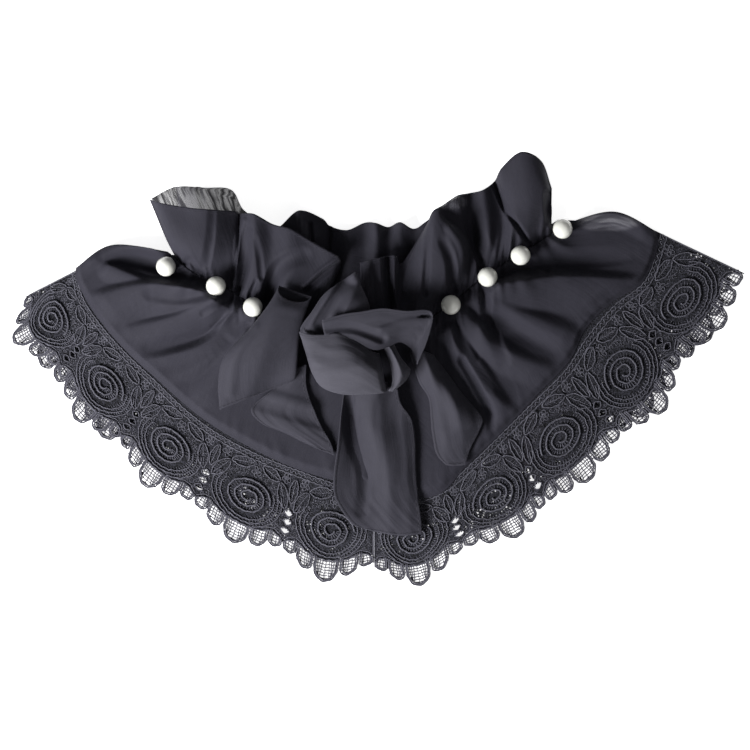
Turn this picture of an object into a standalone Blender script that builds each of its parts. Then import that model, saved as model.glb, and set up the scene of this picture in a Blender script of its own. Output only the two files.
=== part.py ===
"""False collar: a gathered chiffon capelet with a neck ruffle, guipure lace, a tied bow and pearls.

The collar is a ring of cloth, open at the centre front. It lies flat on its back, folded at both
shoulders, so the back panel and back lace lie on the floor and the front half lies on them.
+Y is the neck side, +X the right of someone who looks down on it, +Z up, and z = 0 the floor.
Tables give millimetres. Each row of a rib table is one rib across a cloth, and the cloth goes
smoothly through its ribs. A rib's points lie on the side of the cloth that shows.
"""

import math
from collections import namedtuple

import bmesh
import bpy
from mathutils import Vector
from mathutils.bvhtree import BVHTree

MM = 0.001
COLLECTION = "false_collar"

# Driving sizes, in millimetres
CLOTH_WALL = 1.2
LACE_WALL = 1.2
REST_GAP = 0.4
WELD = 0.01
FRONT_LACE_LIFT = 1.6
PEARL_DIAMETER = 10.0
NECK_SEAM_HALF = 0.4
LACE_FALL_SHARE = 0.3
CLEAR_ABOVE = 60.0
SEARCH_REACH = 500.0

# Materials: colour, roughness
CHIFFON = ("chiffon", (0.052, 0.051, 0.066), 0.75)
GUIPURE = ("guipure", (0.022, 0.022, 0.027), 0.65)
PEARL = ("pearl", (0.86, 0.85, 0.80), 0.22)


def ribs(points, rows):
    """Rows with a named x, y and z column for each named point of a rib."""
    names = [f"{point}_{axis}" for point in points.split() for axis in "xyz"]
    row_type = namedtuple("Rib", names)
    return [row_type(*row) for row in rows]


# Neck seam: the gathering line, and its height on the front and on the back
NeckPoint = namedtuple("NeckPoint", "x y z")
FRONT_NECK = [
    NeckPoint(-108.5, 59.5, 6),
    NeckPoint(-96, 49, 9),
    NeckPoint(-83, 43, 10),
    NeckPoint(-64, 32, 11),
    NeckPoint(-42, 22, 11),
    NeckPoint(-4, 17, 11),
    NeckPoint(20, 23, 11),
    NeckPoint(35, 33, 11),
    NeckPoint(53, 47, 11),
    NeckPoint(70, 58, 10),
    NeckPoint(84, 67, 8),
    NeckPoint(92, 73, 6),
]
BACK_NECK = [
    NeckPoint(-104, 58, 1.2),
    NeckPoint(-70, 49, 1.2),
    NeckPoint(-30, 40, 1.2),
    NeckPoint(5, 38, 1.2),
    NeckPoint(40, 47, 1.2),
    NeckPoint(70, 63, 1.2),
    NeckPoint(90, 76, 1.2),
]

# Front panels: where each rib leaves the neck, its middle, and its end on the hem
FRONT_LEFT_PANEL = ribs("middle hem", [
    (-137, 62.6, 5.5, -155.6, 51.2, 5.2),
    (-134, 55, 6.5, -154.8, 44, 5.2),
    (-125, 39, 7, -146, 28, 5.2),
    (-112, 23, 7, -131, 10, 5.2),
    (-98, 12, 7, -113.3, -6.3, 5.2),
    (-84, 2, 7, -93, -24, 5.2),
    (-68, -6, 7, -70, -38.5, 5.2),
    (-50, -12, 7, -46, -50, 5.2),
    (-25, -18, 7, -24, -57, 5.2),
    (-4.2, -20, 7, -4.5, -61, 5.2),
])
FRONT_LEFT_NECK_X = [-108.4, -106.5, -103, -96, -87, -77, -66, -50, -25, -4.2]
FRONT_RIGHT_PANEL = ribs("middle hem", [
    (118, 79.5, 5.5, 140.9, 69.1, 5.2),
    (117, 68, 6.5, 140.3, 60, 5.2),
    (112, 56, 7, 133, 44, 5.2),
    (99, 46, 7, 117, 33.4, 5.2),
    (88, 36, 7, 104, 20, 5.2),
    (80, 24, 7, 96, 4, 5.2),
    (68, 12, 7, 80, -13, 5.2),
    (54, 0, 7, 62, -32, 5.2),
    (40, -12, 7, 44, -49, 5.2),
    (24, -20, 7, 29.4, -64, 5.2),
    (9, -22, 7, 8, -66, 5.2),
    (-3, -22, 7, -3.7, -64, 5.2),
])
FRONT_RIGHT_NECK_X = [92, 91, 87, 81, 73, 65, 56, 47, 37, 22, 8, -3]

# Folds of the front panels: a crest that runs toward -X from start over middle to end, its height
# at both ends, and how wide it falls off on its neck side and on its hem side
Fold = namedtuple("Fold", "start_x start_y middle_x middle_y end_x end_y rise fall neck_width hem_width")
LEFT_FOLDS = [
    Fold(-108, 61, -130, 62, -153, 53, 6.0, 1.5, 6, 6),
    Fold(-88, 38, -120, 42, -150, 34, 11.0, 2.0, 5, 20),
    Fold(-84, 34, -104, 26, -126, 20, 9.0, 1.5, 5, 14),
    Fold(-74, 31, -88, 13, -114, 4, 8.0, 1.5, 6, 16),
    Fold(-64, 26, -78, 4, -90, -14, 7.0, 1.5, 9, 12),
]
RIGHT_FOLDS = [
    Fold(139, 69, 118, 79, 94, 76, 2.0, 6.0, 6, 8),
    Fold(128, 44, 92, 46, 60, 42, 3.0, 12.0, 5, 20),
    Fold(102, 14, 74, 26, 50, 36, 2.0, 8.0, 8, 13),
    Fold(90, -4, 62, 9, 40, 28, 2.0, 8.0, 7, 12),
    Fold(66, -24, 52, -8, 36, 20, 3.0, 7.0, 6, 9),
]
GATHER_COLUMNS = 3
GATHER_HEIGHT = 2.6
GATHER_REACH = 18.0
NECK_CALM_ROWS = 2
HEM_CALM_ROWS = 2

# Back panel: from the back neck to the back hem, flat on the floor
BACK_PANEL = ribs("middle hem", [
    (-128, 58, 1.2, -153, 49.5, 1.2),
    (-120, 42, 1.2, -139.5, 33.5, 1.2),
    (-108, 30, 1.2, -123.5, 14.5, 1.2),
    (-86, 20, 1.2, -99.5, -4.5, 1.2),
    (-60, 14, 1.2, -69.5, -18.5, 1.2),
    (-30, 8, 1.2, -35, -26.5, 1.2),
    (-2, 5, 1.2, -3, -28.5, 1.2),
    (28, 10, 1.2, 30, -26.5, 1.2),
    (54, 20, 1.2, 60, -17.5, 1.2),
    (78, 36, 1.2, 87.5, 0.5, 1.2),
    (96, 50, 1.2, 109.5, 22.5, 1.2),
    (108, 62, 1.2, 127.5, 42.5, 1.2),
    (114, 74, 1.2, 139.5, 66, 1.2),
])
BACK_NECK_X = [-104, -101, -94, -80, -60, -32, -2, 26, 46, 64, 78, 86, 90]

# Neck ruffle: a row for each crest and each valley, from the neck seam to the free hem
LEFT_RUFFLE = ribs("middle hem", [
    (-109, 66, 16, -117, 85, 17),
    (-104, 63, 21, -110, 82.8, 24),
    (-94, 61, 23, -95, 80.3, 27),
    (-83, 60, 22, -83, 79.5, 26),
    (-74.5, 60, 19, -73.6, 79.3, 21),
    (-71, 58, 13, -71.5, 78.4, 14),
    (-64, 56, 19, -64, 77.6, 22),
    (-56, 52, 16, -54.5, 72.6, 18),
    (-48, 49, 19, -45, 69.9, 21),
    (-38, 43, 17, -33, 62.6, 19),
    (-31, 40, 16, -21.4, 56.1, 17),
    (-29, 34, 10, -21, 51, 11),
])
LEFT_RUFFLE_NECK_X = [-104.5, -100, -92, -82, -75, -71, -66, -59, -52, -46, -41, -38]
RIGHT_RUFFLE = ribs("middle hem", [
    (-10, 38, 16, -11, 53.4, 15),
    (-2, 41, 19, -2, 55.6, 19),
    (5.5, 42, 18, 6.9, 56.8, 18),
    (9, 41, 12, 10.4, 53.3, 12),
    (13.5, 50, 14, 22, 71.5, 15),
    (22, 52, 23, 25.6, 78.8, 24),
    (33, 54, 24, 31, 82, 24),
    (41, 59, 20, 38, 87, 19),
    (46, 62, 11, 44, 88.6, 12),
    (53, 66, 16, 51, 90, 17),
    (61, 73, 12, 57, 94.5, 13),
    (65, 77, 20, 60.5, 101, 21),
    (74, 84, 25, 70, 108.6, 25),
    (82, 88, 23, 80.5, 104, 22),
    (86, 80, 14, 86, 91, 14),
])
RIGHT_RUFFLE_NECK_X = [-4, -1, 2.5, 6, 9, 16, 27, 36, 41, 48, 58, 65, 73, 81, 86.5]
BACK_RUFFLE = ribs("middle hem", [
    (-110, 71, 9, -116.3, 86, 12.5),
    (-101, 74, 4.5, -105, 92.3, 4.5),
    (-90, 72, 5.5, -90, 92, 3.5),
    (-77, 70, 4.5, -76.7, 91, 5),
    (-71, 64, 6, -70.5, 81, 8),
    (-60, 60, 4, -61, 75, 4),
    (-51, 57, 4, -53, 71.6, 4),
    (-42, 60, 8, -42, 80, 10),
    (-31, 58, 4.5, -30.4, 76.4, 5),
    (-25, 55, 3.5, -26, 72.4, 3.5),
    (-17, 54, 7, -17.3, 70.3, 8),
    (-8.5, 56, 5, -8.5, 74, 6),
    (-2.6, 55, 8, -2.6, 73.7, 9),
    (3.5, 54, 4, 3.5, 72, 4),
    (9.4, 56, 7, 9.4, 74.2, 8),
    (16.4, 56, 4, 16.4, 71.1, 4),
    (25, 60, 6, 23, 75, 6),
    (37, 66, 4, 37, 86, 4),
    (49, 72, 6, 48, 89, 5.5),
    (60, 79, 4, 58, 94, 4),
    (72, 88, 5.5, 70, 106, 5),
    (80, 88, 4, 80, 101, 4),
    (84.5, 82, 8, 84.5, 90, 10.5),
])
BACK_RUFFLE_NECK_X = [
    -103.5, -98, -88, -78, -70, -60, -50, -40, -31, -24, -16, -8,
    -2, 4, 10, 18, 27, 38, 50, 62, 72, 80, 85.5,
]

# Tie: tails, loops and the wrapped knot
RIGHT_TAIL = ribs("left crest right", [
    (14, 8, 16, 20, 9, 20, 26.2, 7, 15),
    (18.9, -6.9, 12, 27, -4, 19, 34.3, -3.6, 11),
    (23.7, -15, 9, 33, -14, 17, 40.8, -12.5, 9),
    (25, -27, 7.5, 38, -26, 14, 50.6, -24, 7.5),
    (25.6, -33, 7, 37, -33, 12, 50.3, -30, 7),
    (27.8, -43.4, 6.5, 36.5, -43, 9, 45, -41, 6.5),
    (32.7, -49.1, 6, 37, -49.5, 7, 42.4, -49.1, 6),
])
CENTRE_TAIL = ribs("left valley crest right", [
    (-19, -10, 16, -14, -10, 17, -3, -9, 20, 8, -10, 16),
    (-19.7, -17.4, 14, -15.5, -20, 11, -5, -18, 18, 10, -18, 14),
    (-21, -28, 13, -14.5, -28, 8, -4, -28, 16, 15.5, -26, 10),
    (-22.2, -39.4, 12, -12, -39.4, 7.5, 0, -39, 15, 17.3, -38, 9),
    (-24.3, -55, 10, -8.5, -55.7, 7, 5, -54, 13, 17.5, -52, 8),
    (-23.5, -66, 8.5, -8, -65.4, 7, 6, -66, 11, 18.8, -66, 7),
    (-15.6, -78.3, 7, -6, -75, 7, 8, -77, 9, 20.3, -77, 6),
    (-9, -81.5, 6, -3, -83, 6, 9.4, -85, 7, 20.5, -84.1, 5.5),
])
LEFT_TAIL = ribs("left crest right", [
    (-47, -1, 14, -43, 0, 15, -38, 2, 14),
    (-54.4, -10, 9, -46, -9, 11, -38, -9, 10),
    (-66, -20, 8, -50, -20, 10, -34, -21, 9),
    (-61, -27.8, 7, -46, -29, 9.5, -30, -30, 8.5),
    (-50, -32.5, 6.5, -38, -36, 8, -25.5, -38, 7.5),
    (-41, -37, 6, -32, -41, 7, -23.8, -44.2, 6.5),
])
UPPER_LOOP = ribs("left crest right", [
    (-40, 14, 13, -30, 10, 15, -18, 6, 14),
    (-41, 20, 16, -27, 18, 21, -12, 14, 16),
    (-34.6, 29, 20, -22, 27, 25, -7, 24, 19),
    (-28.9, 37.1, 21, -18.5, 36, 26, -6, 31, 20),
    (-21, 43, 21, -16, 43, 23, -10, 41, 20),
    (-13.5, 48.2, 20, -12.8, 48, 20.5, -12, 47, 20),
])
OUTER_PETAL = ribs("rim belly turn tuck", [
    (-41.5, 18.4, 27, -40, 14, 26.5, -38, 8, 24, -35, 7, 20),
    (-36, 17, 30, -34.5, 6, 32, -35, -2, 27, -30, -1, 20),
    (-28, 17, 32, -26, 3, 36, -30, -9.2, 29, -24, -6, 19),
    (-21.6, 17.6, 33, -17, 2, 38, -20, -12.7, 29, -16, -8, 18),
    (-13, 14, 32, -9, 0, 38, -8, -12.8, 29, -7, -8, 18),
    (-5, 8.8, 30, -2, -2, 35, 0.5, -12.3, 27, 1, -7, 18),
    (-1, 7.5, 27, 1, -3, 30, 2.6, -11, 24, 3, -7, 18),
])
INNER_PETAL = ribs("left crest right", [
    (1.5, 21, 30, 2.2, 20.8, 30.5, 3.5, 20.8, 29.5),
    (-1.1, 13.6, 30, 2, 14, 34, 6, 13, 29),
    (1, 10, 31, 5, 9, 36, 9.5, 6, 29),
    (3.8, 3.5, 32, 8.5, 2, 37, 13, 1.5, 28),
    (5.3, -4.7, 31, 10, -4, 35, 14.6, -1, 26),
    (5, -8, 28, 8.5, -8, 30, 12.5, -6, 23),
    (3.4, -11.5, 24, 5.5, -11.6, 25, 8, -10, 21),
])
BACK_PETAL = ribs("rim middle low", [
    (-29.7, 24.1, 27.5, -29.5, 22, 27, -28.5, 19.8, 25),
    (-19, 27, 28.5, -17.5, 24.5, 27, -16, 21, 25),
    (-10.2, 28.2, 29, -8, 24.5, 26.5, -6, 19, 23),
    (0.4, 29.8, 29.5, 1, 26, 26, 2, 23, 20),
    (12, 28.5, 29, 11, 24, 25, 10, 19, 19),
    (24.8, 28.2, 27, 20, 20, 23, 16, 14, 18),
    (23.2, 16, 28, 20, 13, 22, 17.5, 9, 17),
    (17.5, 2, 24, 17.4, 3.5, 20, 17, 4.5, 17),
])

# Left loop: flattened rings of the tube, from its mouth to its hem
Ring = namedtuple("Ring", "left_x left_y right_x right_y low high")
LEFT_LOOP = [
    Ring(-51.4, 41.5, -35, 36, 16.5, 22),
    Ring(-56.6, 32.5, -38, 28, 14, 25),
    Ring(-66.8, 19.5, -41, 18, 11, 25),
    Ring(-79, 6.5, -42, 8, 9, 22),
    Ring(-82.4, -6.4, -43, -3, 8.5, 17),
    Ring(-81.8, -21, -45, -6.5, 8, 12),
]

# Lace: the seam under a hem and the line between the scallops, with the share of the width that
# lies on another layer; past it the lace comes down to the floor
LaceRow = namedtuple("LaceRow", "seam_x seam_y edge_x edge_y carried")
FRONT_LEFT_LACE = [
    LaceRow(-155, 50, -180.5, 37, 1.5),
    LaceRow(-151, 36, -181, 18, 1.5),
    LaceRow(-141, 21, -165, 1, 1.4),
    LaceRow(-128, 7, -151, -20, 1.4),
    LaceRow(-113, -7, -133.5, -35.5, 1.4),
    LaceRow(-97, -22, -117, -53, 1.3),
    LaceRow(-80, -34, -96, -67, 1.1),
    LaceRow(-60, -44, -74, -81, 0.85),
    LaceRow(-42, -51, -51, -90.5, 0.7),
    LaceRow(-22, -58, -28.5, -101, 0.6),
    LaceRow(-4.7, -62, -5, -98.5, 0.55),
]
FRONT_RIGHT_LACE = [
    LaceRow(141.3, 69.2, 184.3, 48.8, 1.5),
    LaceRow(134, 46, 168, 26, 1.5),
    LaceRow(118, 33, 152.5, 5.5, 1.4),
    LaceRow(104, 17, 139, -16, 1.4),
    LaceRow(93, 0, 122, -32.5, 1.3),
    LaceRow(77, -16, 102, -50.5, 1.2),
    LaceRow(62, -31, 84, -67, 1.0),
    LaceRow(47, -46, 66, -79, 0.85),
    LaceRow(31, -60, 42, -90.5, 0.7),
    LaceRow(12, -66, 18.5, -103, 0.55),
    LaceRow(-3.6, -64, -3.6, -101, 0.5),
]
BACK_LACE = [
    LaceRow(-154, 49, -180, 34, 0),
    LaceRow(-140, 33, -165, 1, 0),
    LaceRow(-124, 14, -145, -23, 0),
    LaceRow(-100, -5, -116, -42, 0),
    LaceRow(-70, -19, -80, -57, 0),
    LaceRow(-35, -27, -40, -66, 0),
    LaceRow(-3, -29, -3, -68, 0),
    LaceRow(30, -27, 36, -66, 0),
    LaceRow(60, -18, 74, -54, 0),
    LaceRow(88, 0, 108, -36, 0),
    LaceRow(110, 22, 138, -10, 0),
    LaceRow(128, 42, 157, 13, 0),
    LaceRow(140, 66, 178, 46, 0),
]
SEAM_SHARE = 0.012
REPEATS_FRONT = 5
REPEATS_BACK = 8
# One repeat of the lace: columns of the outer line with the scallops between them
OUTER_COLUMNS = [
    -0.5, -0.42, -0.34, -0.28, -0.20, -0.14, -0.10, -0.05,
    0, 0.05, 0.10, 0.14, 0.20, 0.28, 0.34, 0.42, 0.5,
]
Scallop = namedtuple("Scallop", "start end depth")
SCALLOPS = [
    Scallop(-0.5, -0.34, 3.0),
    Scallop(-0.34, -0.14, 5.0),
    Scallop(-0.14, 0.14, 7.0),
    Scallop(0.14, 0.34, 5.0),
    Scallop(0.34, 0.5, 3.0),
]
LACE_LAP = 0.11
PLAIN_ROW_STEP = 4
ROSE_ROW = 5
LACE_ROWS = [0.0, 0.12, 0.24, 0.35, 0.46, 0.57, 0.67, 0.77, 0.87]
SCALLOP_ROOT = 0.93
REPEAT_BULGE = 1.2
ROSE_RINGS = 3
ROSE_LENGTH = 0.29
ROSE_WIDTH = 0.29
RING_RISE = {0: 1.8, 1: 0.2, 2: 1.7, 3: 0.0}
GAP_ROWS = (4, 5)
GAP_FRAME = 0.9

# Steps of each cloth's grid, from its first rib to its last and along each rib
Steps = namedtuple("Steps", "across along")
BACK_PANEL_STEPS = Steps(20, 3)
FRONT_PANEL_STEPS = Steps(38, 10)
BACK_RUFFLE_STEPS = Steps(54, 3)
LEFT_RUFFLE_STEPS = Steps(36, 5)
RIGHT_RUFFLE_STEPS = Steps(48, 5)
TAIL_STEPS = Steps(8, 8)
CENTRE_TAIL_STEPS = Steps(10, 9)
LEFT_TAIL_STEPS = Steps(8, 6)
UPPER_LOOP_STEPS = Steps(8, 8)
BACK_PETAL_STEPS = Steps(14, 4)
OUTER_PETAL_STEPS = Steps(12, 9)
INNER_PETAL_STEPS = Steps(9, 6)
LEFT_LOOP_SIDES = 14
LEFT_LOOP_STEPS = 10
PEARL_SEGMENTS = 12
PEARL_RINGS = 8

# Pearls on the gathering line
PearlPlace = namedtuple("PearlPlace", "x y")
PEARLS = [
    PearlPlace(-109, 51.5),
    PearlPlace(-83.4, 41.5),
    PearlPlace(-64.9, 31.0),
    PearlPlace(34.9, 32),
    PearlPlace(53.4, 46),
    PearlPlace(70.1, 57),
    PearlPlace(91.5, 70.5),
]


def catmull(points, place):
    """The point of a smooth curve at a place counted in control points."""
    step = min(int(place), len(points) - 2)
    share = place - step
    a, b = points[step], points[step + 1]
    before = points[step - 1] if step > 0 else 2 * a - b
    after = points[step + 2] if step + 2 < len(points) else 2 * b - a
    slope_a = (b - before) / 2
    slope_b = (after - a) / 2
    square = share * share
    cube = square * share
    return (
        a * (2 * cube - 3 * square + 1)
        + slope_a * (cube - 2 * square + share)
        + b * (3 * square - 2 * cube)
        + slope_b * (cube - square)
    )


def stations(lengths, count):
    """Places, counted in control points, that are evenly spaced along the given lengths."""
    ends = [0.0]
    for length in lengths:
        ends.append(ends[-1] + length)
    places = []
    span = 0
    for step in range(count + 1):
        goal = ends[-1] * step / count
        while span < len(lengths) - 1 and ends[span + 1] < goal:
            span += 1
        places.append(span + (goal - ends[span]) / max(lengths[span], 1e-9))
    return places


def along_curve(points, count):
    """Points evenly spaced along a smooth curve."""
    lengths = [(b - a).length for a, b in zip(points, points[1:])]
    return [catmull(points, place) for place in stations(lengths, count)]


def rib_points(row):
    """A table row as vectors."""
    return [Vector(row[k:k + 3]) for k in range(0, len(row), 3)]


def neck_point(neck, x):
    """The point of a neck seam at a given x."""
    points = [Vector(row) for row in neck]
    for step, (a, b) in enumerate(zip(points, points[1:])):
        if a.x <= x <= b.x:
            return catmull(points, step + (x - a.x) / (b.x - a.x))
    return points[0] if x < points[0].x else points[-1]


def from_neck(neck, xs, rows, side):
    """Ribs that start on a neck seam, on its ruffle side (1) or on its panel side (-1)."""
    starts = [neck_point(neck, x) for x in xs]
    lines = []
    for step, (start, row) in enumerate(zip(starts, rows)):
        run = starts[min(step + 1, len(starts) - 1)] - starts[max(step - 1, 0)]
        across = Vector((-run.y, run.x, 0)).normalized()
        if across.y < 0:
            across = -across
        lines.append([start + across * side * NECK_SEAM_HALF] + rib_points(row))
    return lines


def cloth_grid(lines, steps):
    """A grid of points on the smooth cloth through some ribs."""
    across, along = steps
    fine = [along_curve(line, along) for line in lines]
    lengths = []
    for first, second in zip(fine, fine[1:]):
        lengths.append(sum((b - a).length for a, b in zip(first, second)) / len(first))
    grid = []
    for place in stations(lengths, across):
        grid.append([catmull([line[k] for line in fine], place) for k in range(along + 1)])
    return grid


def crest_height(fold, point):
    """How far one fold lifts the cloth at a point."""
    start = Vector((fold.start_x, fold.start_y))
    middle = Vector((fold.middle_x, fold.middle_y))
    end = Vector((fold.end_x, fold.end_y))
    here = Vector((point.x, point.y))
    best = None
    for a, b, base in ((start, middle, 0.0), (middle, end, 0.5)):
        run = b - a
        share = max(0.0, min(1.0, (here - a).dot(run) / run.length_squared))
        offset = here - (a + run * share)
        if best is None or offset.length < best[0].length:
            best = (offset, base + share / 2, run)
    offset, share, run = best
    hem_side = run.x * offset.y - run.y * offset.x > 0
    width = fold.hem_width if hem_side else fold.neck_width
    distance = offset.length / width
    if distance >= 1:
        return 0.0
    return (fold.rise + (fold.fall - fold.rise) * share) * (1 - distance ** 2) ** 2


def lift_folds(grid, folds):
    """Raise the folds and the gathers of a panel's grid, which stays calm at its neck and its hem."""
    for column, points in enumerate(grid):
        wave = GATHER_HEIGHT * (1 + math.cos(2 * math.pi * column / GATHER_COLUMNS)) / 2
        last = len(points) - 1
        neck = points[0].copy()
        for row, point in enumerate(points):
            calm = min(1.0, (last - row) / HEM_CALM_ROWS, row / NECK_CALM_ROWS)
            lift = max((crest_height(fold, point) for fold in folds), default=0.0)
            gather = wave * math.exp(-(point - neck).length / GATHER_REACH)
            point.z += lift * calm + gather


def material(finish):
    """The material of a finish, made once."""
    name, colour, roughness = finish
    made = bpy.data.materials.get(name) or bpy.data.materials.new(name)
    made.use_nodes = True
    shader = made.node_tree.nodes["Principled BSDF"]
    shader.inputs["Base Color"].default_value = (*colour, 1.0)
    shader.inputs["Roughness"].default_value = roughness
    shader.inputs["Metallic"].default_value = 0.0
    return made


def finish_object(name, bm, finish, parts):
    """An object from a bmesh in millimetres, shaded smooth."""
    for vertex in bm.verts:
        vertex.co *= MM
    mesh = bpy.data.meshes.new(name)
    bm.to_mesh(mesh)
    bm.free()
    mesh.materials.append(material(finish))
    mesh.shade_smooth()
    piece = bpy.data.objects.new(name, mesh)
    parts.objects.link(piece)
    return piece


def thicken(piece, wall):
    """Give an open cloth its wall, on the side that doesn't show."""
    shell = piece.modifiers.new("wall", "SOLIDIFY")
    shell.thickness = wall * MM
    shell.offset = -1


def sheet(name, grid, finish, parts):
    """A cloth from a grid of points, with its wall below."""
    bm = bmesh.new()
    across, along = len(grid) - 1, len(grid[0]) - 1
    bmesh.ops.create_grid(bm, x_segments=across, y_segments=along, size=1)
    bm.verts.ensure_lookup_table()
    for column in range(across + 1):
        for row in range(along + 1):
            bm.verts[row * (across + 1) + column].co = grid[column][row]
    bm.normal_update()
    if sum(face.normal.z * face.calc_area() for face in bm.faces) < 0:
        bmesh.ops.reverse_faces(bm, faces=bm.faces)
    piece = finish_object(name, bm, finish, parts)
    thicken(piece, CLOTH_WALL)
    return piece


def ribbon(name, table, steps, parts):
    """One stretch of the tie, as a cloth through the ribs of its table."""
    return sheet(name, cloth_grid([rib_points(row) for row in table], steps), CHIFFON, parts)


def tube(name, rings, sides, along, finish, parts):
    """A flattened tube through rings, open at both ends, with its wall inside."""
    lines = []
    for ring in rings:
        left = Vector((ring.left_x, ring.left_y, 0))
        right = Vector((ring.right_x, ring.right_y, 0))
        line = []
        for side in range(sides + 1):
            turn = 2 * math.pi * side / sides
            place = left + (right - left) * (1 - math.cos(turn)) / 2
            place.z = ring.low + (ring.high - ring.low) * (1 + math.sin(turn)) / 2
            line.append(place)
        lines.append(line)
    grid = []
    lengths = [1.0] * (len(lines) - 1)
    for place in stations(lengths, along):
        grid.append([catmull([line[k] for line in lines], place) for k in range(sides + 1)])
    bm = bmesh.new()
    bmesh.ops.create_grid(bm, x_segments=along, y_segments=sides, size=1)
    bm.verts.ensure_lookup_table()
    for column in range(along + 1):
        for row in range(sides + 1):
            bm.verts[row * (along + 1) + column].co = grid[column][row]
    bmesh.ops.remove_doubles(bm, verts=bm.verts, dist=WELD)
    bm.normal_update()
    centre = sum((vertex.co for vertex in bm.verts), Vector()) / len(bm.verts)
    if sum((face.calc_center_median() - centre).dot(face.normal) for face in bm.faces) < 0:
        bmesh.ops.reverse_faces(bm, faces=bm.faces)
    piece = finish_object(name, bm, finish, parts)
    thicken(piece, CLOTH_WALL)
    return piece


def lace_point(rows, repeats, run, share):
    """A point of the lace's plan, and how much of the width there lies on another layer."""
    place = (run + 0.5) / repeats * (len(rows) - 1)
    seams = [Vector((row.seam_x, row.seam_y, row.carried)) for row in rows]
    edges = [Vector((row.edge_x, row.edge_y, row.carried)) for row in rows]
    seam = catmull(seams, place)
    edge = catmull(edges, place)
    point = seam + (edge - seam) * share
    return Vector((point.x, point.y, 0)), seam.z


def scallop_depth(column):
    """How far the scallops stand out at a column of a repeat."""
    for scallop in SCALLOPS:
        if scallop.start <= column <= scallop.end:
            middle = (scallop.start + scallop.end) / 2
            half = (scallop.end - scallop.start) / 2
            return scallop.depth * math.sqrt(max(0.0, 1 - ((column - middle) / half) ** 2))
    return 0.0


def soft_step(value):
    """0 to 1, smoothly."""
    value = max(0.0, min(1.0, value))
    return value * value * (3 - 2 * value)


def rose_place(a, b):
    """Where a grid vertex of a rose's block lies: its shares along and across, and its ring."""
    ring = max(abs(a), abs(b))
    if ring == 0:
        return 0.0, 0.0, 0
    turn = math.atan2(b, a)
    size = ring / ROSE_RINGS
    return ROSE_LENGTH * size * math.cos(turn), ROSE_WIDTH * size * math.sin(turn), ring


def plan_key(point):
    """A point's plan position, as a key that its raised copy shares."""
    return round(point.x, 4), round(point.y, 4)


def lace(name, rows, repeats, lift, detailed, parts):
    """A strip of lace with scallops, and where it is detailed with roses and gaps cut through."""
    inner_columns = OUTER_COLUMNS[::2]
    per_repeat = len(inner_columns) - 1
    rose_middle = (LACE_ROWS[2] + LACE_ROWS[-1]) / 2
    share_rows = list(LACE_ROWS if detailed else LACE_ROWS[::PLAIN_ROW_STEP])
    share_rows[0] = -LACE_LAP if lift else SEAM_SHARE
    bm = bmesh.new()
    rises = {}

    def vertex(run, share, out=0.0, rise=0.0):
        point, carried = lace_point(rows, repeats, run, share)
        edge, _ = lace_point(rows, repeats, run, 1.0)
        seam, _ = lace_point(rows, repeats, run, 0.0)
        point += (edge - seam).normalized() * out
        total = share + out / (edge - seam).length
        point.z = lift * (1 - soft_step((total - carried) / LACE_FALL_SHARE))
        made = bm.verts.new(point)
        rises[made] = rise
        return made

    columns = []
    outer_lines = [[], []]
    for repeat in range(repeats):
        for index, column in enumerate(OUTER_COLUMNS[:-1] if repeat < repeats - 1 else OUTER_COLUMNS):
            run = repeat + column
            outer_lines[0].append(vertex(run, SCALLOP_ROOT))
            bulge = REPEAT_BULGE * math.cos(2 * math.pi * column)
            outer_lines[1].append(vertex(run, 1.0, out=bulge + scallop_depth(column)))
            if index % 2:
                continue
            a = inner_columns.index(column) - per_repeat // 2
            line = []
            for row, share in enumerate(share_rows):
                b = row - ROSE_ROW
                if detailed and abs(a) <= ROSE_RINGS and abs(b) <= ROSE_RINGS:
                    along, across, ring = rose_place(a, b)
                    line.append(vertex(repeat + along, rose_middle + across, rise=RING_RISE[ring]))
                else:
                    line.append(vertex(run, share))
            columns.append(line)

    gap_faces = []
    for index, (first, second) in enumerate(zip(columns, columns[1:])):
        for row in range(len(share_rows) - 1):
            face = bm.faces.new((first[row], second[row], second[row + 1], first[row + 1]))
            beside_rose = index % per_repeat in (0, per_repeat - 1) and 0 < index < len(columns) - 2
            if detailed and row in GAP_ROWS and beside_rose:
                gap_faces.append(face)
        corner = outer_lines[0][2 * index:2 * index + 3]
        bm.faces.new((first[-1], second[-1], corner[2], corner[1], corner[0]))
    for index in range(len(outer_lines[0]) - 1):
        inner, outer = outer_lines
        bm.faces.new((inner[index], inner[index + 1], outer[index + 1], outer[index]))

    bm.normal_update()
    if gap_faces:
        bmesh.ops.inset_individual(bm, faces=gap_faces, thickness=GAP_FRAME, use_even_offset=True)
        for face in gap_faces:
            corners = [corner.co.copy() for corner in face.verts]
            for corner, here, after in zip(face.verts, corners, corners[1:] + corners[:1]):
                corner.co = (here + after) / 2
        bmesh.ops.delete(bm, geom=gap_faces, context="FACES")
    bmesh.ops.recalc_face_normals(bm, faces=bm.faces)
    if sum(face.normal.z for face in bm.faces) > 0:
        bmesh.ops.reverse_faces(bm, faces=bm.faces)
    bm.verts.index_update()
    below = list(bm.verts)
    raised = bmesh.ops.extrude_face_region(bm, geom=list(bm.faces))
    tops = [item for item in raised["geom"] if isinstance(item, bmesh.types.BMVert)]
    rise_at = {plan_key(low.co): rises.get(low, 0.0) for low in below}
    for top in tops:
        top.co.z += LACE_WALL + rise_at[plan_key(top.co)]
    bmesh.ops.recalc_face_normals(bm, faces=bm.faces)
    return finish_object(name, bm, GUIPURE, parts)


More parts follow.
